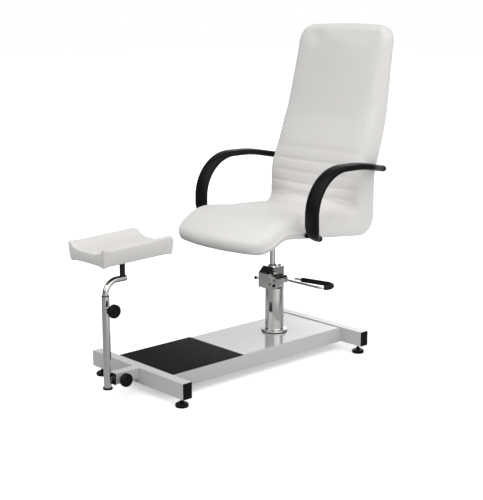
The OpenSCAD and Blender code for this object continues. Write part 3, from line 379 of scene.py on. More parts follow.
def coordinates(mesh):
    """The mesh's points as an array of rows x, y, z."""
    flat = np.empty(len(mesh.vertices) * 3, np.float32)
    mesh.vertices.foreach_get("co", flat)
    return flat.reshape(-1, 3).astype(float)


def masked(piece, points, mask):
    """The mask of a grid's points, carried to the piece's own merged points by their place."""
    grid = points.reshape(-1, 3).astype(np.float32).astype(float)
    places = np.round(np.vstack([coordinates(piece.data), grid]), 5)
    _, where = np.unique(places, axis=0, return_inverse=True)
    where = where.ravel()
    count = len(piece.data.vertices)
    held = np.full(where.max() + 1, -1)
    held[where[count:]] = mask.ravel()
    return held[where[:count]] != 0


def spread_out(mesh, moved, pinned):
    """Evens the movement out: in each of ten rounds a point takes half its neighbours' mean."""
    ends = np.empty(len(mesh.edges) * 2, np.int32)
    mesh.edges.foreach_get("vertices", ends)
    first, second = ends.reshape(-1, 2).T
    count = np.bincount(ends, minlength=len(moved))[:, None]
    for _ in range(10):
        total = np.zeros_like(moved)
        np.add.at(total, first, moved[second])
        np.add.at(total, second, moved[first])
        moved = np.where(pinned[:, None], 0, moved / 2 + total / count / 2)
    return moved


def stuffed(piece, pinned, most):
    """Lets the stuffing press the cover out: cloth with pressure and no gravity, stepped a few
    frames, and one subdivision over it. The pinned points are held, and a movement m is drawn
    in to M tanh(m / M) under the most, M, which is one value or one for each point, then
    evened out."""
    rest = coordinates(piece.data)
    moved = pressed_out(piece, pinned) - rest
    distance = np.maximum(np.linalg.norm(moved, axis=1, keepdims=True), 1e-9)
    moved = spread_out(piece.data, moved * most * np.tanh(distance / most) / distance, pinned)
    piece.data.vertices.foreach_set("co", (rest + moved).astype(np.float32).ravel())
    piece.data.update()
    soft = piece.modifiers.new("Soft surface", "SUBSURF")
    soft.levels = soft.render_levels = 1
    return piece


def pressed_out(piece, pinned):
    """The piece's points after 20 frames of cloth under pressure, with the cloth taken off."""
    frames = 20
    group = piece.vertex_groups.new(name="sewn")
    group.add(np.flatnonzero(pinned).tolist(), 1.0, "REPLACE")
    modifier = piece.modifiers.new("Stuffing", "CLOTH")
    cloth = modifier.settings
    cloth.quality = 5
    cloth.mass = 0.3
    cloth.tension_stiffness = 15
    cloth.compression_stiffness = 15
    cloth.bending_stiffness = 2.0
    cloth.use_pressure = True
    cloth.uniform_pressure_force = 2.5
    cloth.vertex_group_mass = group.name
    cloth.effector_weights.gravity = 0
    modifier.collision_settings.use_collision = False
    modifier.point_cache.frame_start = 1
    modifier.point_cache.frame_end = frames
    scene = bpy.context.scene
    for step in range(1, frames + 1):
        scene.frame_set(step)
    state = piece.evaluated_get(bpy.context.evaluated_depsgraph_get())
    points = coordinates(state.data)
    piece.modifiers.remove(modifier)
    piece.vertex_groups.remove(group)
    scene.frame_set(1)
    return points


# ---- Materials -----------------------------------------------------------------------


def wire(tree, node, **inputs):
    """Sets a node's inputs, each named with _ for a space or numbered as i0, i1: another
    node's output is linked, and a value is set."""
    for key, value in inputs.items():
        numbered = key[0] == "i" and key[1:].isdigit()
        socket = node.inputs[int(key[1:])] if numbered else node.inputs[key.replace("_", " ")]
        if isinstance(value, bpy.types.NodeSocket):
            tree.links.new(value, socket)
        else:
            socket.default_value = value
    return node


def add(tree, kind, settings=None, **inputs):
    """Adds a shader node with its own settings and its inputs."""
    node = tree.nodes.new(kind)
    for key, value in (settings or {}).items():
        setattr(node, key, value)
    return wire(tree, node, **inputs)


def blank(name):
    """New material, as (material, tree, Principled surface, Object coordinates)."""
    material = bpy.data.materials.new(name)
    material.use_nodes = True
    tree = material.node_tree
    place = add(tree, "ShaderNodeTexCoord").outputs["Object"]
    return material, tree, tree.nodes["Principled BSDF"], place


def varied(tree, place, finish, shift, size_mm, detail=2.0):
    """Colour of a finish that drifts to itself times shift over patches of a size in mm."""
    base = getattr(bpy.context.scene.chair_finishes, finish)[:]
    shifted = (*[c * s for c, s in zip(base[:3], shift)], 1.0)
    patches = add(tree, "ShaderNodeTexNoise", Scale=1000 / size_mm, Detail=detail, Vector=place)
    mix = add(
        tree, "ShaderNodeMix", {"data_type": "RGBA"}, Factor=patches.outputs["Fac"], i6=base, i7=shifted
    )
    return mix.outputs[2]


def roughened(tree, place, low, high, size_mm):
    """Roughness that drifts between low and high over patches of a size in mm."""
    patches = add(tree, "ShaderNodeTexNoise", Scale=1000 / size_mm, Detail=3.0, Vector=place)
    spread = add(tree, "ShaderNodeMapRange", To_Min=low, To_Max=high, Value=patches.outputs["Fac"])
    return spread.outputs["Result"]


def synthetic_leather():
    """PVC-coated upholstery fabric, embossed: a soft sheen over shallow pebbles about 1 mm
    wide, drawn at 2.5 mm so that they show, with faint broad unevenness from handling."""
    material, tree, skin, place = blank("Embossed synthetic leather")
    pebbles = add(tree, "ShaderNodeTexVoronoi", {"feature": "SMOOTH_F1"}, Scale=1000 / 2.5, Vector=place)
    creases = add(tree, "ShaderNodeTexNoise", Scale=1000 / 14, Detail=4.0, Vector=place)
    height = add(
        tree,
        "ShaderNodeMath",
        {"operation": "MULTIPLY_ADD"},
        i0=pebbles.outputs["Distance"],
        i1=0.35,
        i2=creases.outputs["Fac"],
    )
    bump = add(tree, "ShaderNodeBump", Distance=0.0005, Strength=0.5, Height=height.outputs["Value"])
    wire(tree, skin, IOR=1.5, Sheen_Weight=0.08, Sheen_Roughness=0.5, Normal=bump.outputs["Normal"])
    wire(tree, skin, Base_Color=varied(tree, place, "upholstery", (0.965, 0.96, 0.95), 90))
    wire(tree, skin, Roughness=roughened(tree, place, 0.42, 0.56, 60))
    return material


def sewing_thread():
    """Twisted polyester thread: matt, with turns 0.8 mm apart."""
    material, tree, skin, place = blank("Twisted polyester thread")
    diagonal = {"bands_direction": "DIAGONAL"}
    twist = add(tree, "ShaderNodeTexWave", diagonal, Scale=1000 / 0.8 / 6.28, Vector=place)
    bump = add(tree, "ShaderNodeBump", Distance=0.0002, Height=twist.outputs["Fac"])
    wire(tree, skin, Roughness=0.75, Normal=bump.outputs["Normal"])
    wire(tree, skin, Base_Color=varied(tree, place, "thread", (0.9, 0.9, 0.9), 3))
    return material


def lining_cloth():
    """Spun-bonded lining cloth: matt black with threads crossing every 2 mm."""
    material, tree, skin, place = blank("Spun-bonded lining cloth")
    warp, weft = [
        add(tree, "ShaderNodeTexWave", {"bands_direction": way}, Scale=1000 / 2 / 6.28, Vector=place)
        for way in "XY"
    ]
    cross = add(
        tree, "ShaderNodeMath", {"operation": "MAXIMUM"}, i0=warp.outputs["Fac"], i1=weft.outputs["Fac"]
    )
    bump = add(tree, "ShaderNodeBump", Distance=0.0003, Height=cross.outputs["Value"])
    wire(tree, skin, Roughness=0.9, Sheen_Weight=0.2, Normal=bump.outputs["Normal"])
    wire(tree, skin, Base_Color=varied(tree, place, "lining", (1.5, 1.5, 1.5), 8))
    return material


def powder_coat():
    """Gloss powder coat on steel: a hard clear skin with faint orange peel 3 mm across, and a
    little dullness where shoes rub it."""
    material, tree, skin, place = blank("Gloss powder coat")
    peel = add(tree, "ShaderNodeTexNoise", Scale=1000 / 3, Detail=1.0, Vector=place)
    bump = add(tree, "ShaderNodeBump", Distance=0.00002, Height=peel.outputs["Fac"])
    wire(tree, skin, IOR=1.5, Coat_Weight=1.0, Coat_Roughness=0.04, Coat_IOR=1.5)
    wire(tree, skin, Base_Color=varied(tree, place, "powder", (0.98, 0.98, 0.975), 120))
    wire(tree, skin, Roughness=roughened(tree, place, 0.18, 0.30, 80), Normal=bump.outputs["Normal"])
    return material


def black_powder_coat():
    """Satin black powder coat with a fine texture 1.5 mm across."""
    material, tree, skin, place = blank("Satin black powder coat")
    grit = add(tree, "ShaderNodeTexNoise", Scale=1000 / 1.5, Detail=2.0, Vector=place)
    bump = add(tree, "ShaderNodeBump", Distance=0.00006, Height=grit.outputs["Fac"])
    wire(tree, skin, IOR=1.5, Specular_IOR_Level=0.35, Normal=bump.outputs["Normal"])
    wire(tree, skin, Base_Color=varied(tree, place, "black_coat", (1.4, 1.4, 1.4), 40))
    wire(tree, skin, Roughness=roughened(tree, place, 0.28, 0.42, 30))
    return material


def moulded_plastic():
    """Injection-moulded black plastic, spark-eroded mould: satin, with grain 1.2 mm across and
    a faint shine where hands rest."""
    material, tree, skin, place = blank("Moulded polyurethane and nylon")
    grain = add(tree, "ShaderNodeTexVoronoi", {"feature": "SMOOTH_F1"}, Scale=1000 / 1.2, Vector=place)
    bump = add(tree, "ShaderNodeBump", Distance=0.00012, Strength=0.6, Height=grain.outputs["Distance"])
    wire(tree, skin, IOR=1.49, Specular_IOR_Level=0.16, Normal=bump.outputs["Normal"])
    wire(tree, skin, Base_Color=varied(tree, place, "moulded", (1.5, 1.5, 1.45), 50))
    wire(tree, skin, Roughness=roughened(tree, place, 0.30, 0.46, 35))
    return material


def chrome_plating():
    """Bright chrome over polished steel: mirror-like, with a faint long ripple from the
    polishing wheel and finger-dulled patches 25 mm wide."""
    material, tree, skin, place = blank("Bright chrome plating")
    ripple = add(tree, "ShaderNodeTexNoise", Scale=1000 / 18, Detail=0.0, Vector=place)
    bump = add(tree, "ShaderNodeBump", Distance=0.00005, Height=ripple.outputs["Fac"])
    wire(tree, skin, Metallic=1.0, Normal=bump.outputs["Normal"])
    wire(tree, skin, Base_Color=varied(tree, place, "plating", (0.94, 0.94, 0.945), 45))
    wire(tree, skin, Roughness=roughened(tree, place, 0.05, 0.12, 25))
    return material


def zinc_plating():
    """Zinc-plated steel fasteners: soft grey metal with patches 6 mm across."""
    material, tree, skin, place = blank("Bright zinc plating")
    wire(tree, skin, Metallic=1.0, Roughness=roughened(tree, place, 0.24, 0.42, 5))
    wire(tree, skin, Base_Color=varied(tree, place, "zinc", (0.8, 0.81, 0.84), 6, 4.0))
    return material


def calendered_rubber():
    """Calendered black rubber: matt, dusty in its grain, with grit 1.5 mm across."""
    material, tree, skin, place = blank("Calendered rubber")
    grit = add(tree, "ShaderNodeTexNoise", Scale=1000 / 1.5, Detail=2.0, Vector=place)
    bump = add(tree, "ShaderNodeBump", Distance=0.00015, Height=grit.outputs["Fac"])
    wire(tree, skin, IOR=1.52, Specular_IOR_Level=0.25, Normal=bump.outputs["Normal"])
    wire(tree, skin, Base_Color=varied(tree, place, "rubber", (1.9, 1.9, 1.9), 4, 4.0))
    wire(tree, skin, Roughness=roughened(tree, place, 0.6, 0.8, 20))
    return material


def beech_plywood():
    """Beech plywood: pale fibres a few millimetres apart, drawn out along the chair."""
    material, tree, skin, place = blank("Beech plywood")
    drawn = add(tree, "ShaderNodeMapping", Scale=(1, 0.06, 0.06), Vector=place).outputs["Vector"]
    wire(tree, skin, Roughness=0.55, Base_Color=varied(tree, drawn, "beech", (0.7, 0.66, 0.6), 4, 5.0))
    return material


FINISHES = {
    "upholstery": synthetic_leather,
    "thread": sewing_thread,
    "lining": lining_cloth,
    "frame_paint": powder_coat,
    "black_paint": black_powder_coat,
    "black_plastic": moulded_plastic,
    "chrome": chrome_plating,
    "steel": zinc_plating,
    "rubber": calendered_rubber,
    "plywood": beech_plywood,
}
made = {}


def coat(piece, slot):
    """Gives a piece the material of a slot, which is made once."""
    if slot not in made:
        made[slot] = FINISHES[slot]()
    piece.data.materials.clear()
    piece.data.materials.append(made[slot])


def fitted(piece, slot, body, node=None):
    """Gives a piece the material of the record's slot for it, hides the CAD node that it stands
    for, if one is given, and hangs the piece on the body that it moves with."""
    coat(piece, slot)
    if node is not None:
        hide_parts(node)
    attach(piece, body)
    return piece


# ---- Shell: seat and back in one -----------------------------------------------------


class Shell:
    """The lines that the seat and back follow, seen from the side.

    x runs back from the piston rod and y up from the seat's edge. The top line runs from the
    front edge over the seat, round the crease and up the back. The under line runs along the
    underside and up the rear. Both have as many corners, so a part number t places a point on
    each that lie across the cushion from each other: 0 to 2 the drooping front, 3 the crease,
    5 the lumbar bend, 7 the upper bend and 9 the top."""

    def __init__(self, s):
        self.s = s
        tan = math.tan
        self.nose_r = s.nose_thick / 2
        self.nose = np.array([self.nose_r - s.seat_front, -s.nose_drop])
        up = np.array([-math.sin(s.droop), math.cos(s.droop)])
        top_x = s.back_front + (s.bend_height - s.lumbar_height) * tan(s.lumbar_lean)
        end_y = s.back_height - s.top_thick / 2
        end = np.array([top_x + (end_y - s.bend_height) * tan(s.top_lean), end_y])
        top_corners = [
            self.nose + self.nose_r * up,
            [s.nose_length - s.seat_front, (s.seat_front - s.nose_length) * tan(s.seat_slope)],
            [s.back_front, -s.back_front * tan(s.seat_slope)],
            [s.back_front, s.lumbar_height],
            [top_x, s.bend_height],
            end,
        ]
        set_back, lower_rise, upper_drop = 0.027, 0.006, 0.058
        under = s.nose_length + set_back - s.seat_front
        rear = s.back_front + s.back_thick
        rear_low, rear_high = s.lumbar_height + lower_rise, s.bend_height - upper_drop
        self.under_corners = [
            self.nose - self.nose_r * up,
            [under, -s.seat_thick - under * tan(s.under_slope)],
            [rear, -s.seat_thick - rear * tan(s.under_slope)],
            [rear, rear_low],
            [rear + (rear_high - rear_low) * tan(s.lumbar_lean), rear_high],
            end + [s.top_thick, 0],
        ]
        self.top = rounded_line(top_corners, [0, 0.150, s.crease_r, 0.300, 0.900, 0])
        self.under = rounded_line(self.under_corners, [0, 0.110, 0.075, 0.190, 0.900, 0])

    def even(self, start, end, count, dense=None):
        """Part numbers from start to end, evenly along the middle line, or closer together
        where dense, a function of t, is more than 1."""
        t = np.linspace(start, end, 1801)
        middle = (on(self.top, t) + on(self.under, t)) / 2
        step = np.linalg.norm(np.diff(middle, axis=0), axis=1)
        if dense is not None:
            step = step * dense((t[1:] + t[:-1]) / 2)
        along = np.concatenate([[0], np.cumsum(step)])
        return np.interp(np.linspace(0, along[-1], count), along, t)

    def at_height(self, z):
        """Part numbers at which the back's face is at heights z over the seat's edge."""
        t = np.linspace(4, 9, 600)
        return np.interp(z, on(self.top, t)[:, 1], t)

    def channel_heights(self):
        """Heights of the sewn channels over the seat's edge, about the lumbar roll's middle."""
        below_bend = 0.010
        k = np.arange(self.s.channels) - (self.s.channels - 1) / 2
        return self.s.lumbar_height - below_bend + k * self.s.channel_pitch

    def quilt(self, z):
        """Depth of the cover at a height z: a soft groove d (1 - sqrt(1 - (1 - g)^2)) on
        either side of each channel, g being the share of a groove's half width, with the
        rolls between two channels arched by a touch more."""
        groove_half, arch = 0.017, 0.0012
        heights = self.channel_heights()
        near = np.abs(z[..., None] - heights).min(-1)
        share = np.clip(near / groove_half, 0, 1)
        groove = self.s.channel_depth * (1 - np.sqrt(np.clip(1 - (1 - share) ** 2, 0, 1)))
        inside = (z > heights[0]) & (z < heights[-1])
        return arch * np.sin(np.pi / 2 * np.clip(2 * near / self.s.channel_pitch, 0, 1)) * inside - groove

    def bridge(self, t, x):
        """How far the cover stands off the crease at part numbers t and places x across:
        full in the arc and over the middle, none on the seat, by the lumbar bend or near
        the sides, where it is drawn down into the corner."""
        across = 1 - ease((np.abs(x) - 0.05) / (self.s.seat_width / 2 - 0.066))
        return self.s.bridge * ease((t - 2.55) / 0.85) * ease((5.3 - t) / 1.6) * across

    def half_width(self, height):
        """Half the cushion's width at a height over the seat's edge: the back narrows evenly
        from the armrests' height to its top."""
        start = 0.207
        share = np.clip((height - start) / (self.s.back_height - start), 0, 1)
        return self.s.seat_width / 2 + share * (self.s.top_width - self.s.seat_width) / 2

    def place(self, x, y):
        """Point of the frame from x across the chair and y, a place in the side view."""
        return np.stack([x, ROD_Y + y[..., 0], self.s.edge_height + y[..., 1]], -1)


def corner_inset(distance, radius):
    """How far a rounded corner draws in at a distance from its edge: r - sqrt(r^2 - (r-d)^2)."""
    d = np.clip(radius - distance, 0, radius)
    return np.where(distance >= radius, 0, radius - np.sqrt(np.clip(radius**2 - d**2, 0, None)))


def ring_places(shell):
    """Part numbers t of the cover's rings, with the angle a that shapes each ring's thickness:
    0 to 90 degrees in the rounded front edge, 90 along the shell, and back in the top edge.

    The rows are closer together over the channels and over the pleat across the seat."""
    low, high = shell.at_height(shell.channel_heights()[[0, -1]] + [-0.02, 0.02])

    def dense(t):
        channels = ease(2 * (t - low) + 1) * ease(2 * (high - t) + 1)
        return 1 + 0.7 * channels + 1.2 * ease((t - 2.1) / 0.15) * ease((2.75 - t) / 0.15)

    body = shell.even(0, 9, 182, dense)
    cap = np.linspace(0, np.pi / 2, 9)
    t = np.concatenate([np.zeros(8), body, np.full(8, 9.0)])
    return t, np.concatenate([cap[:-1], np.full(len(body), np.pi / 2), cap[-2::-1]])


def cushion_section(shell, t, a, half, thick, dip):
    """Cross sections of the cushion at rings t: x across, y up from the under line, and for
    each column its share on the face, its share on the side, and whether it is underneath.

    Round a ring go the crowned face, w + c (1 - u^2) plus the quilting, the rounded front
    edge, the bulging side, the rounded rear edge and the flat underside, mirrored for the
    other half. Behind the panels the underside steps in."""
    s = shell.s
    soft = np.interp(t, [2.6, 3.6], [0.046, 0.034])
    edge_r, rear_r = np.minimum(soft, 0.6 * thick), np.minimum(0.016, 0.3 * thick)
    crown_c = s.crown * np.interp(t, [3, 4], [0.5, 1.0]) * np.sin(a)
    covered = ((t > 0.75) & (t < 8.9)).astype(float)
    side_bulge, seam_notch, panel_step = 0.0035, 0.0012, 0.012
    u = np.linspace(0, 1, 22)
    b = np.linspace(0, np.pi / 2, 8)[1:]
    v = np.linspace(0, 1, 6)[1:]
    c = np.linspace(0, np.pi / 2, 4)[1:]
    flat = (half - edge_r)[:, None]
    w, er, rr = thick[:, None], edge_r[:, None], rear_r[:, None]
    h = half[:, None]
    panel_half = s.seat_width / 2 - s.rim
    x = [
        u * flat,
        flat + er * np.sin(b),
        h + side_bulge * np.sin(np.pi * v) * np.sin(a)[:, None] - seam_notch * (v == v[-1]),
        h - rr + rr * np.cos(c),
        (h - rr) * (1 - u),
    ]
    fade = 1 - 0.35 * ease((u - 0.86) / 0.14)
    step_in = panel_step * covered[:, None] * ease((panel_half - np.abs(x[4])) / 0.004)
    crown = crown_c[:, None] * (1 - u**2) + shell.bridge(t[:, None], x[0])
    y = [
        w + crown + dip[:, None] * fade,
        w - er + er * np.cos(b) + 0.65 * dip[:, None] * np.cos(b) ** 2,
        (w - er) * (1 - v) + rr * v,
        rr - rr * np.sin(c),
        step_in,
    ]
    x, y = np.concatenate(x, 1), np.concatenate(y, 1)
    count = x.shape[1]
    x = np.concatenate([x, -x[:, count - 2 : 0 : -1]], 1)
    y = np.concatenate([y, y[:, count - 2 : 0 : -1]], 1)
    column = np.minimum(np.arange(x.shape[1]), x.shape[1] - np.arange(x.shape[1]))
    on_face = np.concatenate([u * 0 + 1, np.cos(b), v * 0, c * 0, u * 0])[column]
    on_side = np.concatenate([u * 0, np.sin(b), 1 - 0.6 * v, c * 0, u * 0])[column]
    return x, y, on_face, on_side, column >= len(u) + len(b) + len(v) + 1


def pleat_depth(x, side, on_side, half):
    """Depth of the pleat that the cover takes between seat and back.

    Its line crosses the seat behind the rod, swings forward to the seat's edge and runs down
    the side slantwise. Across the line it is a bell, narrow to the front and wide to the
    rear, so the seat seems to roll down into the back."""
    behind_rod, swing, slant = 0.022, 0.113, 0.052
    line = behind_rod - swing * ease((x - 0.10) / (half - 0.10)) ** 1.5
    line = line + slant * on_side * ease(-side[..., 1] / 0.06)
    deep = 0.0030 + 0.0240 * ease((x - 0.05) / (half - 0.05)) ** 1.3
    away = side[..., 0] - line
    near, far = 0.0075 + 0.0050 * on_side, 0.055 - 0.015 * ease((x - 0.12) / (half - 0.12))
    return deep * np.exp(-((away / np.where(away < 0, near, far)) ** 2))


def cushion_grid(shell):
    """Grid of the cushion's cover, one section after the other along the shell, with the mask
    of what is sewn down: the channels, the pleat and the underside.

    A section's thickness is the gap between the two lines times sin a, and its corners draw
    in towards both ends. The front edge bows forward and the top edge up by
    b (1 - (x/w)^2)."""
    s = shell.s
    front_corner_r, top_corner_r, bow_reach, top_lift = 0.070, 0.064, 0.220, 0.009
    t, a = ring_places(shell)
    up, low = on(shell.top, t), on(shell.under, t)
    middle, full = (up + low) / 2, np.linalg.norm(up - low, axis=1)
    n = unit(up - low)
    along = np.stack([n[:, 1], -n[:, 0]], -1)
    thick = full * np.sin(a)
    top_r = s.top_thick / 2
    from_front = np.linalg.norm(middle - shell.nose, axis=1)
    from_front = from_front + shell.nose_r - np.where(t == 0, shell.nose_r * np.cos(a), 0)
    from_front = np.where(t > 4, 1.0, from_front)
    from_top = np.linalg.norm(middle - middle[-1], axis=1) + top_r - np.where(t == 9, top_r * np.cos(a), 0)
    from_top = np.where(t < 8, 1.0, from_top)
    past = np.where(t == 0, -full / 2 * np.cos(a), np.where(t == 9, full / 2 * np.cos(a), 0))
    inset = np.maximum(corner_inset(from_front, front_corner_r), corner_inset(from_top, top_corner_r))
    half = shell.half_width(up[:, 1]) - inset
    dip = np.where(t > 3.5, shell.quilt(up[:, 1]), 0) * np.sin(a)
    x, y, on_face, on_side, under = cushion_section(shell, t, a, half, thick, dip)
    q = 1 - (x / (s.seat_width / 2)) ** 2
    forward = s.nose_bow * q * (1 - ease(from_front / bow_reach))[:, None]
    lift = top_lift * q * (1 - ease(from_top / bow_reach))[:, None]
    side = middle[:, None] + n[:, None] * (y - thick[:, None] / 2)[..., None]
    side = side + (along * past[:, None])[:, None] + np.stack([-forward, lift], -1)
    pleat = np.where(t < 4, 1.0, 0.0)[:, None] * pleat_depth(np.abs(x), side, on_side, s.seat_width / 2)
    side = side - n[:, None] * (pleat * on_face)[..., None]
    x = x - np.sign(x) * pleat * on_side
    valley = (dip < -0.6 * s.channel_depth)[:, None] | (pleat > 0.0030)
    return shell.place(x, side), valley | under


class CHAIR_OT_seat_and_back(bpy.types.Operator):
    """Sews and stuffs the one-piece cushion of the seat and back"""

    bl_idname = "chair.seat_and_back"
    bl_label = "Seat and back cushion"

    def execute(self, context):
        shell = Shell(context.scene.chair_shell)
        points, pinned = cushion_grid(shell)
        piece = surface("seat_and_back", points)
        heights = shell.channel_heights() + shell.s.edge_height
        z = coordinates(piece.data)[:, 2:]
        rolls = ease((z - heights[0]) / 0.03 + 0.5) * ease((heights[-1] - z) / 0.03 + 0.5)
        stuffed(piece, masked(piece, points, pinned), shell.s.swell * (1 - 0.6 * rolls))
        fitted(piece, "upholstery", "seat", "seat_back_cushion")
        return {"FINISHED"}


class CHAIR_OT_channel_stitches(bpy.types.Operator):
    """Lays the thread of the lockstitches in the channels across the back"""

    bl_idname = "chair.channel_stitches"
    bl_label = "Channel stitches"

    def execute(self, context):
        shell = Shell(context.scene.chair_shell)
        s = shell.s
        pitch, stitch, thread_r, sunk = 0.0055, 0.0038, 0.0006, 0.0002
        from_edge, edge_soft, slack = 0.040, 0.034, 0.0015
        t = shell.at_height(shell.channel_heights())
        up, low = on(shell.top, t), on(shell.under, t)
        n = unit(up - low)
        half = s.seat_width / 2 - from_edge
        across = np.arange(-half, half, pitch)
        u = (np.abs(across) + slack) / (s.seat_width / 2 - edge_soft)
        crown = s.crown * (1 - u**2) - s.channel_depth * (1 - 0.35 * ease((u - 0.86) / 0.14))
        crown = crown - sunk + shell.bridge(t[:, None], across)
        centre = up[:, None] + n[:, None] * crown[..., None]
        a = np.linspace(0, np.pi, 6)
        b = np.linspace(0, 2 * np.pi, 6, endpoint=False)
        along, r = -stitch / 2 * np.cos(a), thread_r * np.sin(a) ** 0.5
        x = across[None, :, None, None] + along[None, None, :, None] + 0 * b
        turn = r[:, None] * np.stack([np.cos(b), np.sin(b)])[:, None]
        square = np.stack([n[:, 1], -n[:, 0]], -1)
        side = (
            centre[:, :, None, None]
            + n[:, None, None, None] * turn[0][None, None, :, :, None]
            + square[:, None, None, None] * turn[1][None, None, :, :, None]
        )
        grids = shell.place(np.broadcast_to(x, side.shape[:-1]), side).reshape(-1, len(a), len(b), 3)
        fitted(surface("channel_stitches", grids), "thread", "seat")
        return {"FINISHED"}


class CHAIR_OT_shell_panels(bpy.types.Operator):
    """Covers the shell's rear with a padded panel and its underside with lining cloth"""

    bl_idname = "chair.shell_panels"
    bl_label = "Rear panel and lining"

    def execute(self, context):
        shell = Shell(context.scene.chair_shell)
        rear = fitted(panel("rear_panel", shell, 3.02, 8.9, 0.005), "upholstery", "seat", "rear_cover")
        fitted(panel("under_lining", shell, 0.75, 3.0, -0.0005), "lining", "seat", "under_cover")
        return {"FINISHED"}


def panel(name, shell, start, end, proud):
    """Thin panel let into the shell's rear between two part numbers.

    The outer face stands at -d + (d + m) sqrt(1 - (1 - g)^2) + p e off the shell: d is the
    9 mm that the inner face lies deep, p how proud the panel is, m the least of p and 1 mm, g
    the share of the rolled rim that a point is in from the nearest edge, and e the eased
    share of 90 mm. A panel that lies under the shell's face has no last term."""
    s = shell.s
    depth, roll, swelling, clear = 0.009, 0.010, 0.09, 0.0008
    t = shell.even(start, end, 90)
    low, up = on(shell.under, t), on(shell.top, t)
    step = np.gradient(low, axis=0)
    out = unit(np.stack([step[:, 1], -step[:, 0]], -1))
    out = out * np.where(((low - up) * out).sum(1, keepdims=True) < 0, -1, 1)
    along = travelled(low)
    half = s.seat_width / 2 - s.rim - clear
    x = half * np.sin(np.linspace(-np.pi / 2, np.pi / 2, 41))
    from_edge = np.minimum(np.minimum(along, along[-1] - along)[:, None], (half - np.abs(x))[None, :])
    rim = np.sqrt(np.clip(1 - (1 - np.clip(from_edge / roll, 0, 1)) ** 2, 0, 1))
    outer = -depth + (depth + min(proud, 0.001)) * rim + max(proud, 0) * ease(from_edge / swelling)
    skins = []
    for height in (outer, np.full_like(outer, -depth)):
        side = low[:, None] + out[:, None] * height[..., None]
        skins.append(shell.place(np.broadcast_to(x, height.shape), side))
    return surface(name, np.concatenate([skins[0], skins[1][:, ::-1]], 1))


# ---- Foot pad ------------------------------------------------------------------------


def spline(knots, steps):
    """Catmull-Rom curve through rows of knots: between p1 and p2 it is
    (2 p1 + (p2 - p0) f + (2 p0 - 5 p1 + 4 p2 - p3) f^2 + (3 p1 - 3 p2 + p3 - p0) f^3) / 2."""
    first, last = 2 * knots[:, :1] - knots[:, 1:2], 2 * knots[:, -1:] - knots[:, -2:-1]
    k = np.concatenate([first, knots, last], 1)
    p0, p1, p2, p3 = k[:, :-3, None], k[:, 1:-2, None], k[:, 2:-1, None], k[:, 3:, None]
    f = (np.arange(steps) / steps)[None, None, :, None]
    curve = 2 * p1 + (p2 - p0) * f + (2 * p0 - 5 * p1 + 4 * p2 - p3) * f**2
    curve = (curve + (3 * p1 - 3 * p2 + p3 - p0) * f**3) / 2
    return np.concatenate([curve.reshape(len(knots), -1, 2), knots[:, -1:]], 1)


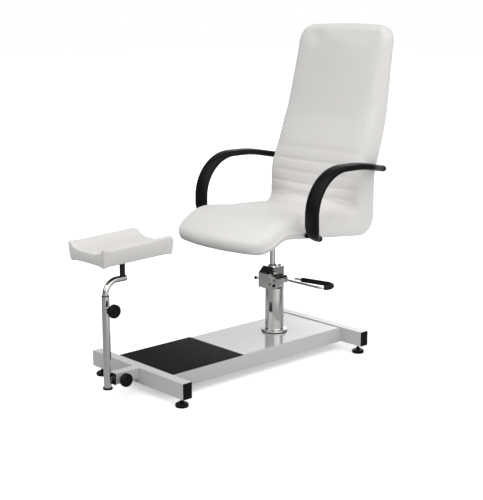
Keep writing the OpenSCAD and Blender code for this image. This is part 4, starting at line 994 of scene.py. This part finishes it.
def foot_pad_grid(s):
    """Grid of the foot pad's cover: rings from front to rear.

    Half a ring is an upper curve, from the trough's middle over the lip to the middle of the
    side, and a lower curve under it, both Catmull-Rom splines with points in pairs. Towards
    both ends a runs from 90 degrees to 0: the outline draws in by r (1 - sin a) while the ring
    stops r (1 - cos a) short. Past that each pair closes on its own middle, which makes the
    flat end. The lips' front corners stand proud as ears with a tuck inside them, their rear
    corners drop, the corners underneath hang a little where the cover is folded under, and
    two shallow creases run along the trough."""
    r, rows = 0.009, 44
    front_ear, rear_drop, hanging, tucked, crease = 0.0055, 0.0060, 0.0038, 0.0045, 0.0006
    closing = np.array([0.0, 0.25, 0.5, 0.75, 0.92])
    quarter = np.linspace(0, np.pi / 2, 7)[:-1]
    a = np.concatenate([0 * closing, quarter, np.full(rows, np.pi / 2), quarter[::-1], 0 * closing])
    apart = np.concatenate([closing, np.ones(12 + rows), closing[::-1]])
    middle = s.length_y / 2 - r
    reach = np.sin(np.linspace(-np.pi / 2, np.pi / 2, rows)) * middle
    tip = middle + r * np.cos(quarter)
    flat = np.full(5, s.length_y / 2) + 0.0012 * (1 - closing**2)
    y = np.concatenate([-flat, -tip, reach, tip[::-1], flat[::-1]])
    drawn = r * (1 - np.sin(a))
    half = s.width / 2 - 0.5 * drawn
    from_end = s.length_y / 2 - np.abs(y)
    corner = ease(1 - from_end / 0.030)
    ear = np.where(y < 0, front_ear * corner**2, -rear_drop * corner**2)
    low = 0.30 * drawn
    trough = s.thickness - 0.55 * drawn
    peak = trough + s.lip + 0.004 * (y / s.length_y + 0.5) + ear - 0.25 * drawn
    out = half + s.lean - 0.15 * drawn
    hang = low - hanging * corner
    tuck = tucked * np.where(y < 0, ease(1 - from_end / 0.014), 0)
    zero = np.zeros_like(y)
    side = (half + 0.55 * s.lean, 0.45 * peak)
    upper = [
        (zero, trough - 0.0020),
        (0.30 * half, trough - 0.0018),
        (0.52 * half, trough - 0.0005),
        (0.68 * half, trough + 0.003),
        (0.82 * half, trough + 0.46 * (peak - trough) - tuck),
        (0.92 * half, trough + 0.88 * (peak - trough) - 0.6 * tuck),
        (out - 0.006, peak),
        (out - 0.0012, peak - 0.0035),
        (out, peak - 0.011),
        side,
    ]
    lower = [
        *((share * half, low) for share in (0, 0.30, 0.52, 0.68)),
        (0.80 * half, 0.4 * low + 0.6 * hang),
        (0.90 * half, hang),
        (half - 0.006, hang + 0.0004),
        (half - 0.0015, hang + 0.0030),
        (half + 0.0004, hang + 0.0090),
        side,
    ]
    curves = [spline(np.stack([np.stack(p, -1) for p in knots], 1), 5) for knots in (upper, lower)]
    for x in (0.24, 0.58):
        distance = (curves[0][..., 0] - x * s.width / 2) / 0.004
        curves[0][..., 1] -= crease * np.exp(-(distance**2)) * np.sin(a)[:, None]
    between = (curves[0] + curves[1]) / 2
    curves = [between + (c - between) * apart[:, None, None] for c in curves]
    line = np.concatenate([curves[0], curves[1][:, -2::-1]], 1)
    line = np.concatenate([line, line[:, -2:0:-1] * [-1, 1]], 1)
    bow = 0.005 * (1 - (line[..., 0] / (s.width / 2)) ** 2).clip(0, 1)
    close = ease(np.abs(y) / (s.length_y / 2))[:, None] ** 3
    along = y[:, None] - np.sign(y)[:, None] * bow * close
    return np.stack([line[..., 0], along, line[..., 1]], -1)


class CHAIR_OT_foot_pad(bpy.types.Operator):
    """Covers and stuffs the foot pad with its trough between two lips"""

    bl_idname = "chair.foot_pad"
    bl_label = "Foot pad"

    def execute(self, context):
        s = context.scene.chair_foot_pad
        grid = foot_pad_grid(s)
        centre = np.array([0, (PAD_LOW.y + PAD_HIGH.y) / 2, s.height])
        cos, sin = math.cos(s.pitch), math.sin(s.pitch)
        points = grid @ np.array([[1, 0, 0], [0, cos, -sin], [0, sin, cos]]).T + centre
        piece = surface("foot_pad", points)
        held = (grid[..., 2] < 0.008) | (np.abs(grid[..., 1]) > s.length_y / 2 - 0.004)
        stuffed(piece, masked(piece, points, held), s.swell)
        fitted(piece, "upholstery", "footrest_top", "footrest_pad")
        return {"FINISHED"}


# ---- Armrests ------------------------------------------------------------------------


def arm_line(arms):
    """The armrest's middle line in the side view, with its five corners."""
    low_end, heel_height, heel_r, rear_bend_r = [-0.028, -0.074], -0.042, 0.062, 0.600
    front = -arms.front + arms.thickness / 2
    crest = arms.rise - arms.thickness / 2
    corners = [
        np.array(low_end),
        np.array([front, heel_height]),
        np.array([front, crest]),
        np.array([arms.peak, crest]),
        np.array([arms.back, crest - (arms.back - arms.peak) * math.tan(arms.slope)]),
    ]
    return rounded_line(corners, [0, heel_r, arms.bend, rear_bend_r, 0]), corners


def armrest(name, arms, shell, side):
    """One looped armrest: a soft rectangle carried along the middle line.

    The ring at part t is X + w/2 sgn(cos q)|cos q|^k across and t/2 sgn(sin q)|sin q|^k in
    depth. The width grows from the ends to the pad and draws in a little at the very ends. The
    depth closes as sqrt(1 - (1 - 2 d / t)^2) at a distance d under half the thickness from an
    end, and a fine ridge runs along both edges where the mould's halves met."""
    soft, ridge_height = 0.62, 0.00035
    line, _ = arm_line(arms)
    dense = np.linspace(0, 7, 2100)
    along = travelled(on(line, dense))
    ends = along[-1] * np.array([0, 0.0004, 0.0016, 0.0036, 0.0065, 0.0105, 0.016])
    between = np.linspace(ends[-1], along[-1] - ends[-1], 96)[1:-1]
    even = np.concatenate([ends, between, along[-1] - ends[::-1]])
    t = np.interp(even, along, dense)
    c = on(line, t)
    tangent = unit(on(line, np.minimum(t + 0.004, 7)) - on(line, np.maximum(t - 0.004, 0)))
    n = np.stack([-tangent[:, 1], tangent[:, 0]], -1)
    spread = np.minimum(ease((t - 0.3) / 1.6), ease((7 - t) / 1.2))
    distance = np.minimum(even, along[-1] - even)
    close = np.sqrt(np.clip(1 - np.clip(1 - 2 * distance / arms.thickness, 0, 1) ** 2, 0, 1))
    width = arms.end_width + (arms.pad_width - arms.end_width) * spread
    inner = shell.s.seat_width / 2 + arms.stand_off + arms.end_width / 2
    middle = inner + (shell.s.seat_width / 2 + arms.gap - inner) * spread
    q = np.linspace(0, 2 * np.pi, 48, endpoint=False)
    cos, sin = np.cos(q), np.sin(q)
    tighten = 0.82 + 0.18 * close
    across = (np.sign(cos) * np.abs(cos) ** soft)[None] * (width * tighten)[:, None] / 2
    depth = (np.sign(sin) * np.abs(sin) ** soft)[None] * (arms.thickness / 2 * close)[:, None]
    ridge = ridge_height * (np.abs(sin) < 0.01) * np.sign(cos)
    x = side * (middle[:, None] + across + ridge)
    return surface(name, shell.place(x, c[:, None] + n[:, None] * depth[..., None]))


def crossing(p, q, c, d):
    """Where a line from p to q crosses a line from c to d."""
    ahead, other, gap = q - p, d - c, c - p
    share = (gap[0] * other[1] - gap[1] * other[0]) / (ahead[0] * other[1] - ahead[1] * other[0])
    return p + ahead * share


def inset_corners(corners, depth):
    """The corners of a line set in by a depth, along their mitres."""
    c = np.asarray(corners, float)
    u = unit(np.diff(c, axis=0))
    normal = np.stack([-u[:, 1], u[:, 0]], -1)
    n, m = np.vstack([normal[:1], normal]), np.vstack([normal, normal[-1:]])
    return c + depth * (n + m) / (1 + (n * m).sum(1, keepdims=True))


class CHAIR_OT_armrests(bpy.types.Operator):
    """Moulds the two looped armrests and the plugs over their bolts"""

    bl_idname = "chair.armrests"
    bl_label = "Armrests"

    def execute(self, context):
        shell, arms = Shell(context.scene.chair_shell), context.scene.chair_arms
        sides = ((1, "left"), (-1, "right"))
        for side, word in sides:
            loop = armrest(f"arm_loop_{word}", arms, shell, side)
            fitted(loop, "black_plastic", "seat", f"armrest_{word}")
        _, corners = arm_line(arms)
        board = inset_corners(shell.under_corners, 0.0165)
        outer = shell.s.seat_width / 2 + arms.stand_off + arms.end_width
        shank = [(0, -0.004), (0.0068, -0.004), (0.0070, 0.0002)]
        head = [(0.0064, 0.0007), (0.004, 0.0009), (0, 0.0010)]
        for name, bolt in (
            ("low", crossing(corners[0], corners[1], board[1], board[2])),
            ("high", crossing(corners[3], corners[4], board[3], board[4])),
        ):
            for side, word in sides:
                facing = [(r, side * h) for r, h in shank + head]
                centre = (side * outer, ROD_Y + bolt[0], shell.s.edge_height + bolt[1])
                plug = turned(f"arm_plug_{name}_{word}", facing, centre, "x", 32)
                fitted(plug, "black_plastic", "seat")
        return {"FINISHED"}


# ---- Lever, pump and foot rest's tubes -----------------------------------------------


def lever_path(s, start, back, reach_in=None):
    """The lever's line: out along X, round a half turn that closes on itself, and back.

    The bend is (x0 + R sin b, y0 + R (1 - cos b)) for b up to 180 degrees plus the closing."""
    behind_barrel = 0.015
    y0 = (BARREL_LOW.y + BARREL_HIGH.y) / 2 + behind_barrel
    z0 = (BARREL_LOW.z + BARREL_HIGH.z) / 2
    radius = s.loop / 2
    x0 = s.reach - radius
    full = math.pi + math.asin(s.closing / s.returning)
    b = np.linspace(start, full, 40)
    bend = np.stack([x0 + radius * np.sin(b), y0 + radius * (1 - np.cos(b))], -1)
    tail = bend[-1] + np.linspace(0, back, 24)[1:, None] * [math.cos(full), math.sin(full)]
    flat = np.vstack([bend, tail])
    if reach_in is not None:
        lead = np.stack([np.linspace(reach_in, x0, 24)[:-1], np.full(23, y0)], -1)
        flat = np.vstack([lead, flat])
    return np.concatenate([flat, np.full((len(flat), 1), z0)], 1)


class CHAIR_OT_pedal(bpy.types.Operator):
    """Bends the lever's rod into its pedal loop and pushes the rubber grip on"""

    bl_idname = "chair.pedal"
    bl_label = "Pump lever and grip"

    def execute(self, context):
        s = context.scene.chair_lever
        in_barrel, end_dome = 0.010, 0.002
        start = (BARREL_LOW.x + BARREL_HIGH.x) / 2 + in_barrel
        path, radii = dome_ends(lever_path(s, 0, s.returning - end_dome, start), s.rod / 2)
        fitted(tube("pedal_rod", path, radii), "chrome", "pump_lever", "lever_rod")
        mouth_r, ring_pitch, ring_depth, clear = 0.005, 0.0066, 0.0005, 0.0001
        path = lever_path(s, s.grip_angle, s.returning - s.bare)
        run = travelled(path)
        even = np.linspace(0, run[-1], 140)
        path = np.stack([np.interp(even, run, path[:, k]) for k in range(3)], -1)
        end = np.minimum(even, run[-1] - even)
        mouth = np.sqrt(np.clip(1 - (1 - np.clip(end / mouth_r, 0, 1)) ** 2, 0, 1))
        rings = ring_depth * (np.cos(2 * np.pi * even / ring_pitch) > 0.4) * (end > 0.010)
        radii = s.rod / 2 + clear + (s.grip - s.rod) / 2 * mouth - rings
        fitted(tube("pedal_sleeve", path, radii, 28), "rubber", "pump_lever", "pedal_grip")
        return {"FINISHED"}


class CHAIR_OT_pump(bpy.types.Operator):
    """Turns and finishes the pump: reservoir, flange with a thin black rubber ring under its rim, head and
    rod
    """

    bl_idname = "chair.pump"
    bl_label = "Hydraulic pump"

    def execute(self, context):
        low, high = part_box("pump_cylinder")
        centre = ((low.x + high.x) / 2, (low.y + high.y) / 2, 0)
        r, wall = (high.x - low.x) / 2, 0.003
        barrel = round_ring(r, r - wall, low.z, high.z, 0.0008)
        fitted(turned("reservoir", barrel, centre, segments=128), "chrome", "base", "pump_cylinder")
        low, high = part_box("pump_flange")
        foot_r, thick, ring_height, lap = (high.x - low.x) / 2, 0.010, 0.0028, 0.006
        # A thin black rubber ring under the flange's rim, which the flange laps over, draws a dark line along
        # the foot of the rim.
        ring = round_ring(foot_r + 0.0006, foot_r - lap, low.z + 0.0001, low.z + ring_height, 0.0005)
        fitted(turned("flange_seal", ring, centre, segments=128), "rubber", "base")
        top, edge, rim_r, fillet_r = low.z + thick, foot_r - 0.0008, 0.003, 0.004
        flange = np.vstack(
            [
                [0, low.z + 0.001],
                [edge - lap, low.z + 0.001],
                [edge - lap, low.z + ring_height],
                [edge, low.z + ring_height],
                arc((foot_r - rim_r, top - rim_r), rim_r, 0, 90, 6),
                arc((r + 0.0045, top + fillet_r), fillet_r, 270, 180, 6),
                [0, top + fillet_r],
            ]
        )
        fitted(turned("foot_flange", flange, centre, segments=128), "chrome", "base", "pump_flange")
        eased_copy("pump_head", "chrome", 0.0012, 3)
        low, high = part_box("piston_rod")
        rod_r, neck_r, neck, shoulder = 0.011, 0.008, 0.012, 0.014
        rod = [(0, low.z), (neck_r, low.z), (neck_r, low.z + neck), (rod_r, low.z + shoulder)]
        rod += [(rod_r, high.z), (0, high.z)]
        fitted(turned("lift_rod", rod, (0, ROD_Y, 0), segments=96), "chrome", "seat", "piston_rod")
        return {"FINISHED"}


class CHAIR_OT_foot_rest_tubes(bpy.types.Operator):
    """Bends the foot rest's swan neck and caps the foot of its post"""

    bl_idname = "chair.foot_rest_tubes"
    bl_label = "Foot rest tubes"

    def execute(self, context):
        low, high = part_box("footrest_post")
        outer, wall, skirt, base = (high.x - low.x) / 2, 0.004, 0.0030, low.z - 0.0040
        rim = round_ring(outer + 0.0009, outer - wall, base, low.z + skirt, 0.0010)
        profile = np.vstack([[0, base], rim[1:-1], [outer - wall, low.z - 0.001], [0, low.z - 0.001]])
        cap = turned("post_foot_cap", profile, (0, (low.y + high.y) / 2, 0))
        fitted(cap, "black_plastic", "footrest_arm", "post_cap")
        low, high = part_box("footrest_bend")
        r, bend_r = (high.x - low.x) / 2, 0.050
        y, z = low.y + r, high.z - r
        straight = np.stack([np.full(30, y), np.linspace(low.z, z - bend_r, 30)], -1)
        bend = arc((y + bend_r, z - bend_r), bend_r, 180, 90, 40)
        run = np.stack([np.linspace(y + bend_r, high.y, 12), np.full(12, z)], -1)
        flat = np.vstack([straight, bend[1:], run[1:]])
        path = np.concatenate([np.zeros((len(flat), 1)), flat], 1)
        neck = surface("goose_neck", bar_rings(path, r), sharp=50)
        fitted(neck, "chrome", "footrest_top", "footrest_bend")
        return {"FINISHED"}


def bar_rings(path, radius):
    """Rings of a flat-ended bar in the plane x = 0: P + r (cos b X + sin b N), N square to the
    path."""
    ends = np.vstack([path[:1], path, path[-1:]])
    radii = np.concatenate([[0], np.full(len(path), radius), [0]])
    step = np.gradient(ends, axis=0)
    step[0], step[-1] = step[1], step[-2]
    tangent = unit(step)
    normal = np.stack([0 * tangent[:, 0], -tangent[:, 2], tangent[:, 1]], -1)
    b = np.linspace(0, 2 * np.pi, 40, endpoint=False)[None, :, None]
    ring = np.cos(b) * np.array([1.0, 0, 0]) + np.sin(b) * normal[:, None]
    return ends[:, None] + radii[:, None, None] * ring


# ---- Base ----------------------------------------------------------------------------


class CHAIR_OT_floor_mat(bpy.types.Operator):
    """Lays the ribbed rubber mat on the deck"""

    bl_idname = "chair.floor_mat"
    bl_label = "Rubber mat"

    def execute(self, context):
        low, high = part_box("floor_mat")
        ribs, groove, margin, edge, clear = 64, 0.0007, 0.003, 0.0008, 0.0002
        inset, rounding, inner = 0.0005, 0.0012, 0.0022
        share = np.linspace(0, 1, 8 * ribs + 1)
        x = low.x + margin + share * (high.x - low.x - 2 * margin)
        top = high.z - groove * (0.5 + 0.5 * np.cos(2 * np.pi * share * ribs)) ** 3
        over = np.concatenate([[low.x + inset, low.x + rounding], x, [high.x - rounding, high.x - inset]])
        rise = np.concatenate([[low.z + clear, high.z - edge], top, [high.z - edge, low.z + clear]])
        steps = np.array([inset, 2 * inset, inner])
        y = np.concatenate([low.y + steps, high.y - steps[::-1]])
        lower = np.array([1, 0.3, 0, 0, 0.3, 1])
        z = rise[None] - lower[:, None] * (rise - low.z - clear)[None]
        grid = np.stack([np.broadcast_to(over, z.shape), np.broadcast_to(y[:, None], z.shape), z], -1)
        floor = grid.copy()
        floor[..., 2] = low.z + clear
        piece = surface("ribbed_mat", np.concatenate([grid, floor[:, ::-1]], 1), sharp=60)
        fitted(piece, "rubber", "base", "floor_mat")
        return {"FINISHED"}


class CHAIR_OT_frame_finish(bpy.types.Operator):
    """Breaks the edges of the welded frame and gives every other part its finish"""

    bl_idname = "chair.frame_finish"
    bl_label = "Frame and finishes"

    def execute(self, context):
        slots = {row["node"]: row["material_slot"] for row in frame["record"]["subparts"]}
        for node, width, segments in (
            ("front_crossbar", 0.0026, 3),
            ("rear_crossbar", 0.0026, 3),
            ("footrest_stub", 0.0022, 3),
            ("crossbar_caps", 0.0012, 2),
            ("platform", 0.0006, 1),
            ("seat_plate", 0.0010, 2),
            ("pad_plate", 0.0008, 2),
            ("stub_bush", 0.0012, 2),
        ):
            eased_copy(node, slots[node], width, segments)
        for node, part in frame["nodes"].items():
            if node in slots and not part.hide_render:
                coat(part, slots[node])
        return {"FINISHED"}


# ---- Stage ---------------------------------------------------------------------------

# Tones of the walls that mirrors see, by the share of a turn about the chair from the rear
# past the sitter's right, the front and the sitter's left to the rear again.
STUDIO_WALLS = (
    (0.00, 0.90),
    (0.09, 1.30),
    (0.118, 1.32),
    (0.130, 1.08),
    (0.141, 0.92),
    (0.24, 0.50),
    (0.29, 0.14),
    (0.34, 0.20),
    (0.40, 0.36),
    (0.55, 0.40),
    (0.63, 0.60),
    (0.69, 0.80),
    (0.77, 1.00),
    (0.82, 0.60),
    (0.85, 0.26),
    (0.92, 0.30),
    (1.00, 0.90),
)
SMOOTH = {"interpolation_type": "SMOOTHSTEP"}
COLOURS = {"data_type": "RGBA"}


def grey(value):
    """A neutral colour."""
    return (value, value, value, 1)


def seen_by(tree, *kinds):
    """1 for rays of the given kinds and 0 for the rest."""
    path = add(tree, "ShaderNodeLightPath")
    seen = path.outputs[f"Is {kinds[0]} Ray"]
    for kind in kinds[1:]:
        other = path.outputs[f"Is {kind} Ray"]
        seen = add(tree, "ShaderNodeMath", {"operation": "MAXIMUM"}, i0=seen, i1=other).outputs["Value"]
    return seen


def studio_tones(tree, direction):
    """Tone of the studio's walls by a direction's turn about Z, with the direction's height:
    soft white walls behind and to the sides, and dark flags between them."""
    split = add(tree, "ShaderNodeSeparateXYZ", Vector=direction)
    front = add(tree, "ShaderNodeMath", {"operation": "MULTIPLY"}, i0=split.outputs["Y"], i1=-1)
    turn = add(
        tree, "ShaderNodeMath", {"operation": "ARCTAN2"}, i0=split.outputs["X"], i1=front.outputs["Value"]
    )
    share = add(
        tree, "ShaderNodeMapRange", From_Min=-math.pi, From_Max=math.pi, Value=turn.outputs["Value"]
    )
    ramp = add(tree, "ShaderNodeValToRGB", Fac=share.outputs["Result"])
    stops = ramp.color_ramp.elements
    while len(stops) > 1:
        stops.remove(stops[-1])
    stops[0].position, stops[0].color = STUDIO_WALLS[0][0], grey(STUDIO_WALLS[0][1])
    for position, tone in STUDIO_WALLS[1:]:
        stops.new(position).color = grey(tone)
    return ramp.outputs["Color"], split.outputs["Z"]


def floor_material():
    """Seamless white paper sweep. The camera sees it white with the object's soft shadow on
    it, and mirrors see it dimmer, taking on the walls' tones further out. The light that it
    throws back is full behind the sitter's left and weak in front."""
    material = bpy.data.materials.new("White paper sweep")
    material.use_nodes = True
    tree = material.node_tree
    tree.nodes.clear()
    place = add(tree, "ShaderNodeTexCoord").outputs["Object"]
    walls, _ = studio_tones(tree, place)
    distance = add(tree, "ShaderNodeVectorMath", {"operation": "LENGTH"}, i0=place)
    far = add(
        tree, "ShaderNodeMapRange", SMOOTH, From_Min=0.5, From_Max=1.6, Value=distance.outputs["Value"]
    )
    dimmed = add(tree, "ShaderNodeMix", COLOURS, Factor=far.outputs["Result"], i6=grey(0.5), i7=walls)
    mirrored = add(tree, "ShaderNodeEmission", Strength=0.85, Color=dimmed.outputs[2])
    paper = add(tree, "ShaderNodeBsdfDiffuse", Color=grey(0.98))
    glow = add(tree, "ShaderNodeEmission", Color=grey(1), Strength=0.42)
    shadowed = add(tree, "ShaderNodeAddShader", i0=paper.outputs[0], i1=glow.outputs[0])
    rear = add(tree, "ShaderNodeVectorMath", {"operation": "DOT_PRODUCT"}, i0=place, i1=(0.6, 0.8, 0))
    lit = add(tree, "ShaderNodeMapRange", SMOOTH, From_Min=-0.5, From_Max=0.8, Value=rear.outputs["Value"])
    bounce = add(
        tree, "ShaderNodeMix", COLOURS, Factor=lit.outputs["Result"], i6=grey(0.18), i7=grey(0.95)
    )
    matt = add(tree, "ShaderNodeBsdfDiffuse", Color=bounce.outputs[2])
    add(tree, "ShaderNodeOutputMaterial", Surface=shown_to(tree, matt, mirrored, shadowed))
    return material


def studio_world(strength):
    """World of the studio: white to the camera. Mirrors see the walls round the horizon, a
    dim ceiling and a soft box over the sitter's left, and matt surfaces a soft light from
    above."""
    world = bpy.data.worlds.new("Studio")
    world.use_nodes = True
    tree = world.node_tree
    tree.nodes.clear()
    direction = add(tree, "ShaderNodeTexCoord").outputs["Generated"]
    walls, height = studio_tones(tree, direction)
    overhead = add(tree, "ShaderNodeMapRange", SMOOTH, From_Min=0.25, From_Max=0.55, Value=height)
    aim = Vector((0.62, -0.25, 0.74)).normalized()
    near = add(tree, "ShaderNodeVectorMath", {"operation": "DOT_PRODUCT"}, i0=direction, i1=aim)
    box = add(tree, "ShaderNodeMapRange", SMOOTH, From_Min=0.86, From_Max=0.93, Value=near.outputs["Value"])
    ceiling = add(tree, "ShaderNodeMix", COLOURS, Factor=box.outputs["Result"], i6=grey(0.18), i7=grey(1))
    deeper = add(tree, "ShaderNodeGamma", Gamma=2.0, Color=walls)
    room = add(
        tree,
        "ShaderNodeMix",
        COLOURS,
        Factor=overhead.outputs["Result"],
        i6=deeper.outputs["Color"],
        i7=ceiling.outputs[2],
    )
    lift = add(
        tree,
        "ShaderNodeMapRange",
        From_Min=-0.3,
        From_Max=1.0,
        To_Min=0.8 * strength,
        To_Max=1.1 * strength,
        Value=height,
    )
    matt = add(tree, "ShaderNodeBackground", Strength=lift.outputs["Result"])
    mirrored = add(tree, "ShaderNodeBackground", Color=room.outputs[2])
    white = add(tree, "ShaderNodeBackground", Color=grey(1), Strength=1.0)
    add(tree, "ShaderNodeOutputWorld", Surface=shown_to(tree, matt, mirrored, white))
    return world


def shown_to(tree, matt, mirrored, seen):
    """One surface that is matt's to matt surfaces, mirrored's to mirrors and glass, and seen's
    to the camera."""
    glossy = seen_by(tree, "Glossy", "Transmission")
    first = add(tree, "ShaderNodeMixShader", i0=glossy, i1=matt.outputs[0], i2=mirrored.outputs[0])
    camera = seen_by(tree, "Camera")
    return add(tree, "ShaderNodeMixShader", i0=camera, i1=first.outputs[0], i2=seen.outputs[0]).outputs[0]


class CHAIR_OT_stage(bpy.types.Operator):
    """Sets the floor, the studio light and the camera"""

    bl_idname = "chair.stage"
    bl_label = "Studio"

    def execute(self, context):
        scene, s = context.scene, context.scene.chair_studio
        camera_data = bpy.data.cameras.new("Camera")
        camera = bpy.data.objects.new("Camera", camera_data)
        scene.collection.objects.link(camera)
        camera_data.sensor_fit = "VERTICAL"
        camera_data.sensor_width = camera_data.sensor_height = 36
        camera_data.lens = s.lens
        a, e = s.azimuth, s.elevation
        back = Vector((math.sin(a) * math.cos(e), -math.cos(a) * math.cos(e), math.sin(e)))
        camera.location = (3.1094, -2.8136, 1.3700)
        camera.rotation_euler = (-back).to_track_quat("-Z", "Y").to_euler()
        scene.camera = camera
        mesh = bpy.data.meshes.new("sweep")
        far = 30.0
        mesh.from_pydata([(-far, -far, 0), (far, -far, 0), (far, far, 0), (-far, far, 0)], [], [(0, 1, 2, 3)])
        floor = bpy.data.objects.new("sweep", mesh)
        scene.collection.objects.link(floor)
        mesh.materials.append(floor_material())
        for name, strength, spread, aim in (
            ("Key", s.key, 90, (0.83, -0.05, 0.56)),
            ("Fill", s.fill, 80, (-0.05, -0.60, 0.80)),
        ):
            lamp = bpy.data.lights.new(name, "SUN")
            lamp.energy = strength
            lamp.angle = spread * DEGREE
            holder = bpy.data.objects.new(name, lamp)
            scene.collection.objects.link(holder)
            holder.rotation_euler = Vector(aim).to_track_quat("Z", "Y").to_euler()
        scene.world = studio_world(s.sky)
        scene.view_settings.view_transform = "Standard"
        return {"FINISHED"}


# ---- Add-on --------------------------------------------------------------------------

STEPS = (
    CHAIR_OT_stage,
    CHAIR_OT_seat_and_back,
    CHAIR_OT_channel_stitches,
    CHAIR_OT_shell_panels,
    CHAIR_OT_foot_pad,
    CHAIR_OT_armrests,
    CHAIR_OT_pedal,
    CHAIR_OT_pump,
    CHAIR_OT_foot_rest_tubes,
    CHAIR_OT_floor_mat,
    CHAIR_OT_frame_finish,
)


class CHAIR_PT_sidebar(bpy.types.Panel):
    """Lists the chair's pieces and their sizes"""

    bl_idname = "CHAIR_PT_sidebar"
    bl_label = "Pedicure chair"
    bl_space_type = "VIEW_3D"
    bl_region_type = "UI"
    bl_category = "Chair"

    def draw(self, context):
        for step in STEPS:
            self.layout.operator(step.bl_idname)
        for name, group in GROUPS.items():
            box = self.layout.box()
            for field in group.__annotations__:
                box.prop(getattr(context.scene, name), field)


def register():
    for name, group in GROUPS.items():
        bpy.utils.register_class(group)
        setattr(bpy.types.Scene, name, PointerProperty(type=group))
    for step in (*STEPS, CHAIR_PT_sidebar):
        bpy.utils.register_class(step)


def unregister():
    for step in (CHAIR_PT_sidebar, *reversed(STEPS)):
        bpy.utils.unregister_class(step)
    for name, group in GROUPS.items():
        delattr(bpy.types.Scene, name)
        bpy.utils.unregister_class(group)


def main():
    register()
    for step in STEPS:
        family, name = step.bl_idname.split(".")
        getattr(getattr(bpy.ops, family), name)()


if __name__ == "__main__":
    main()
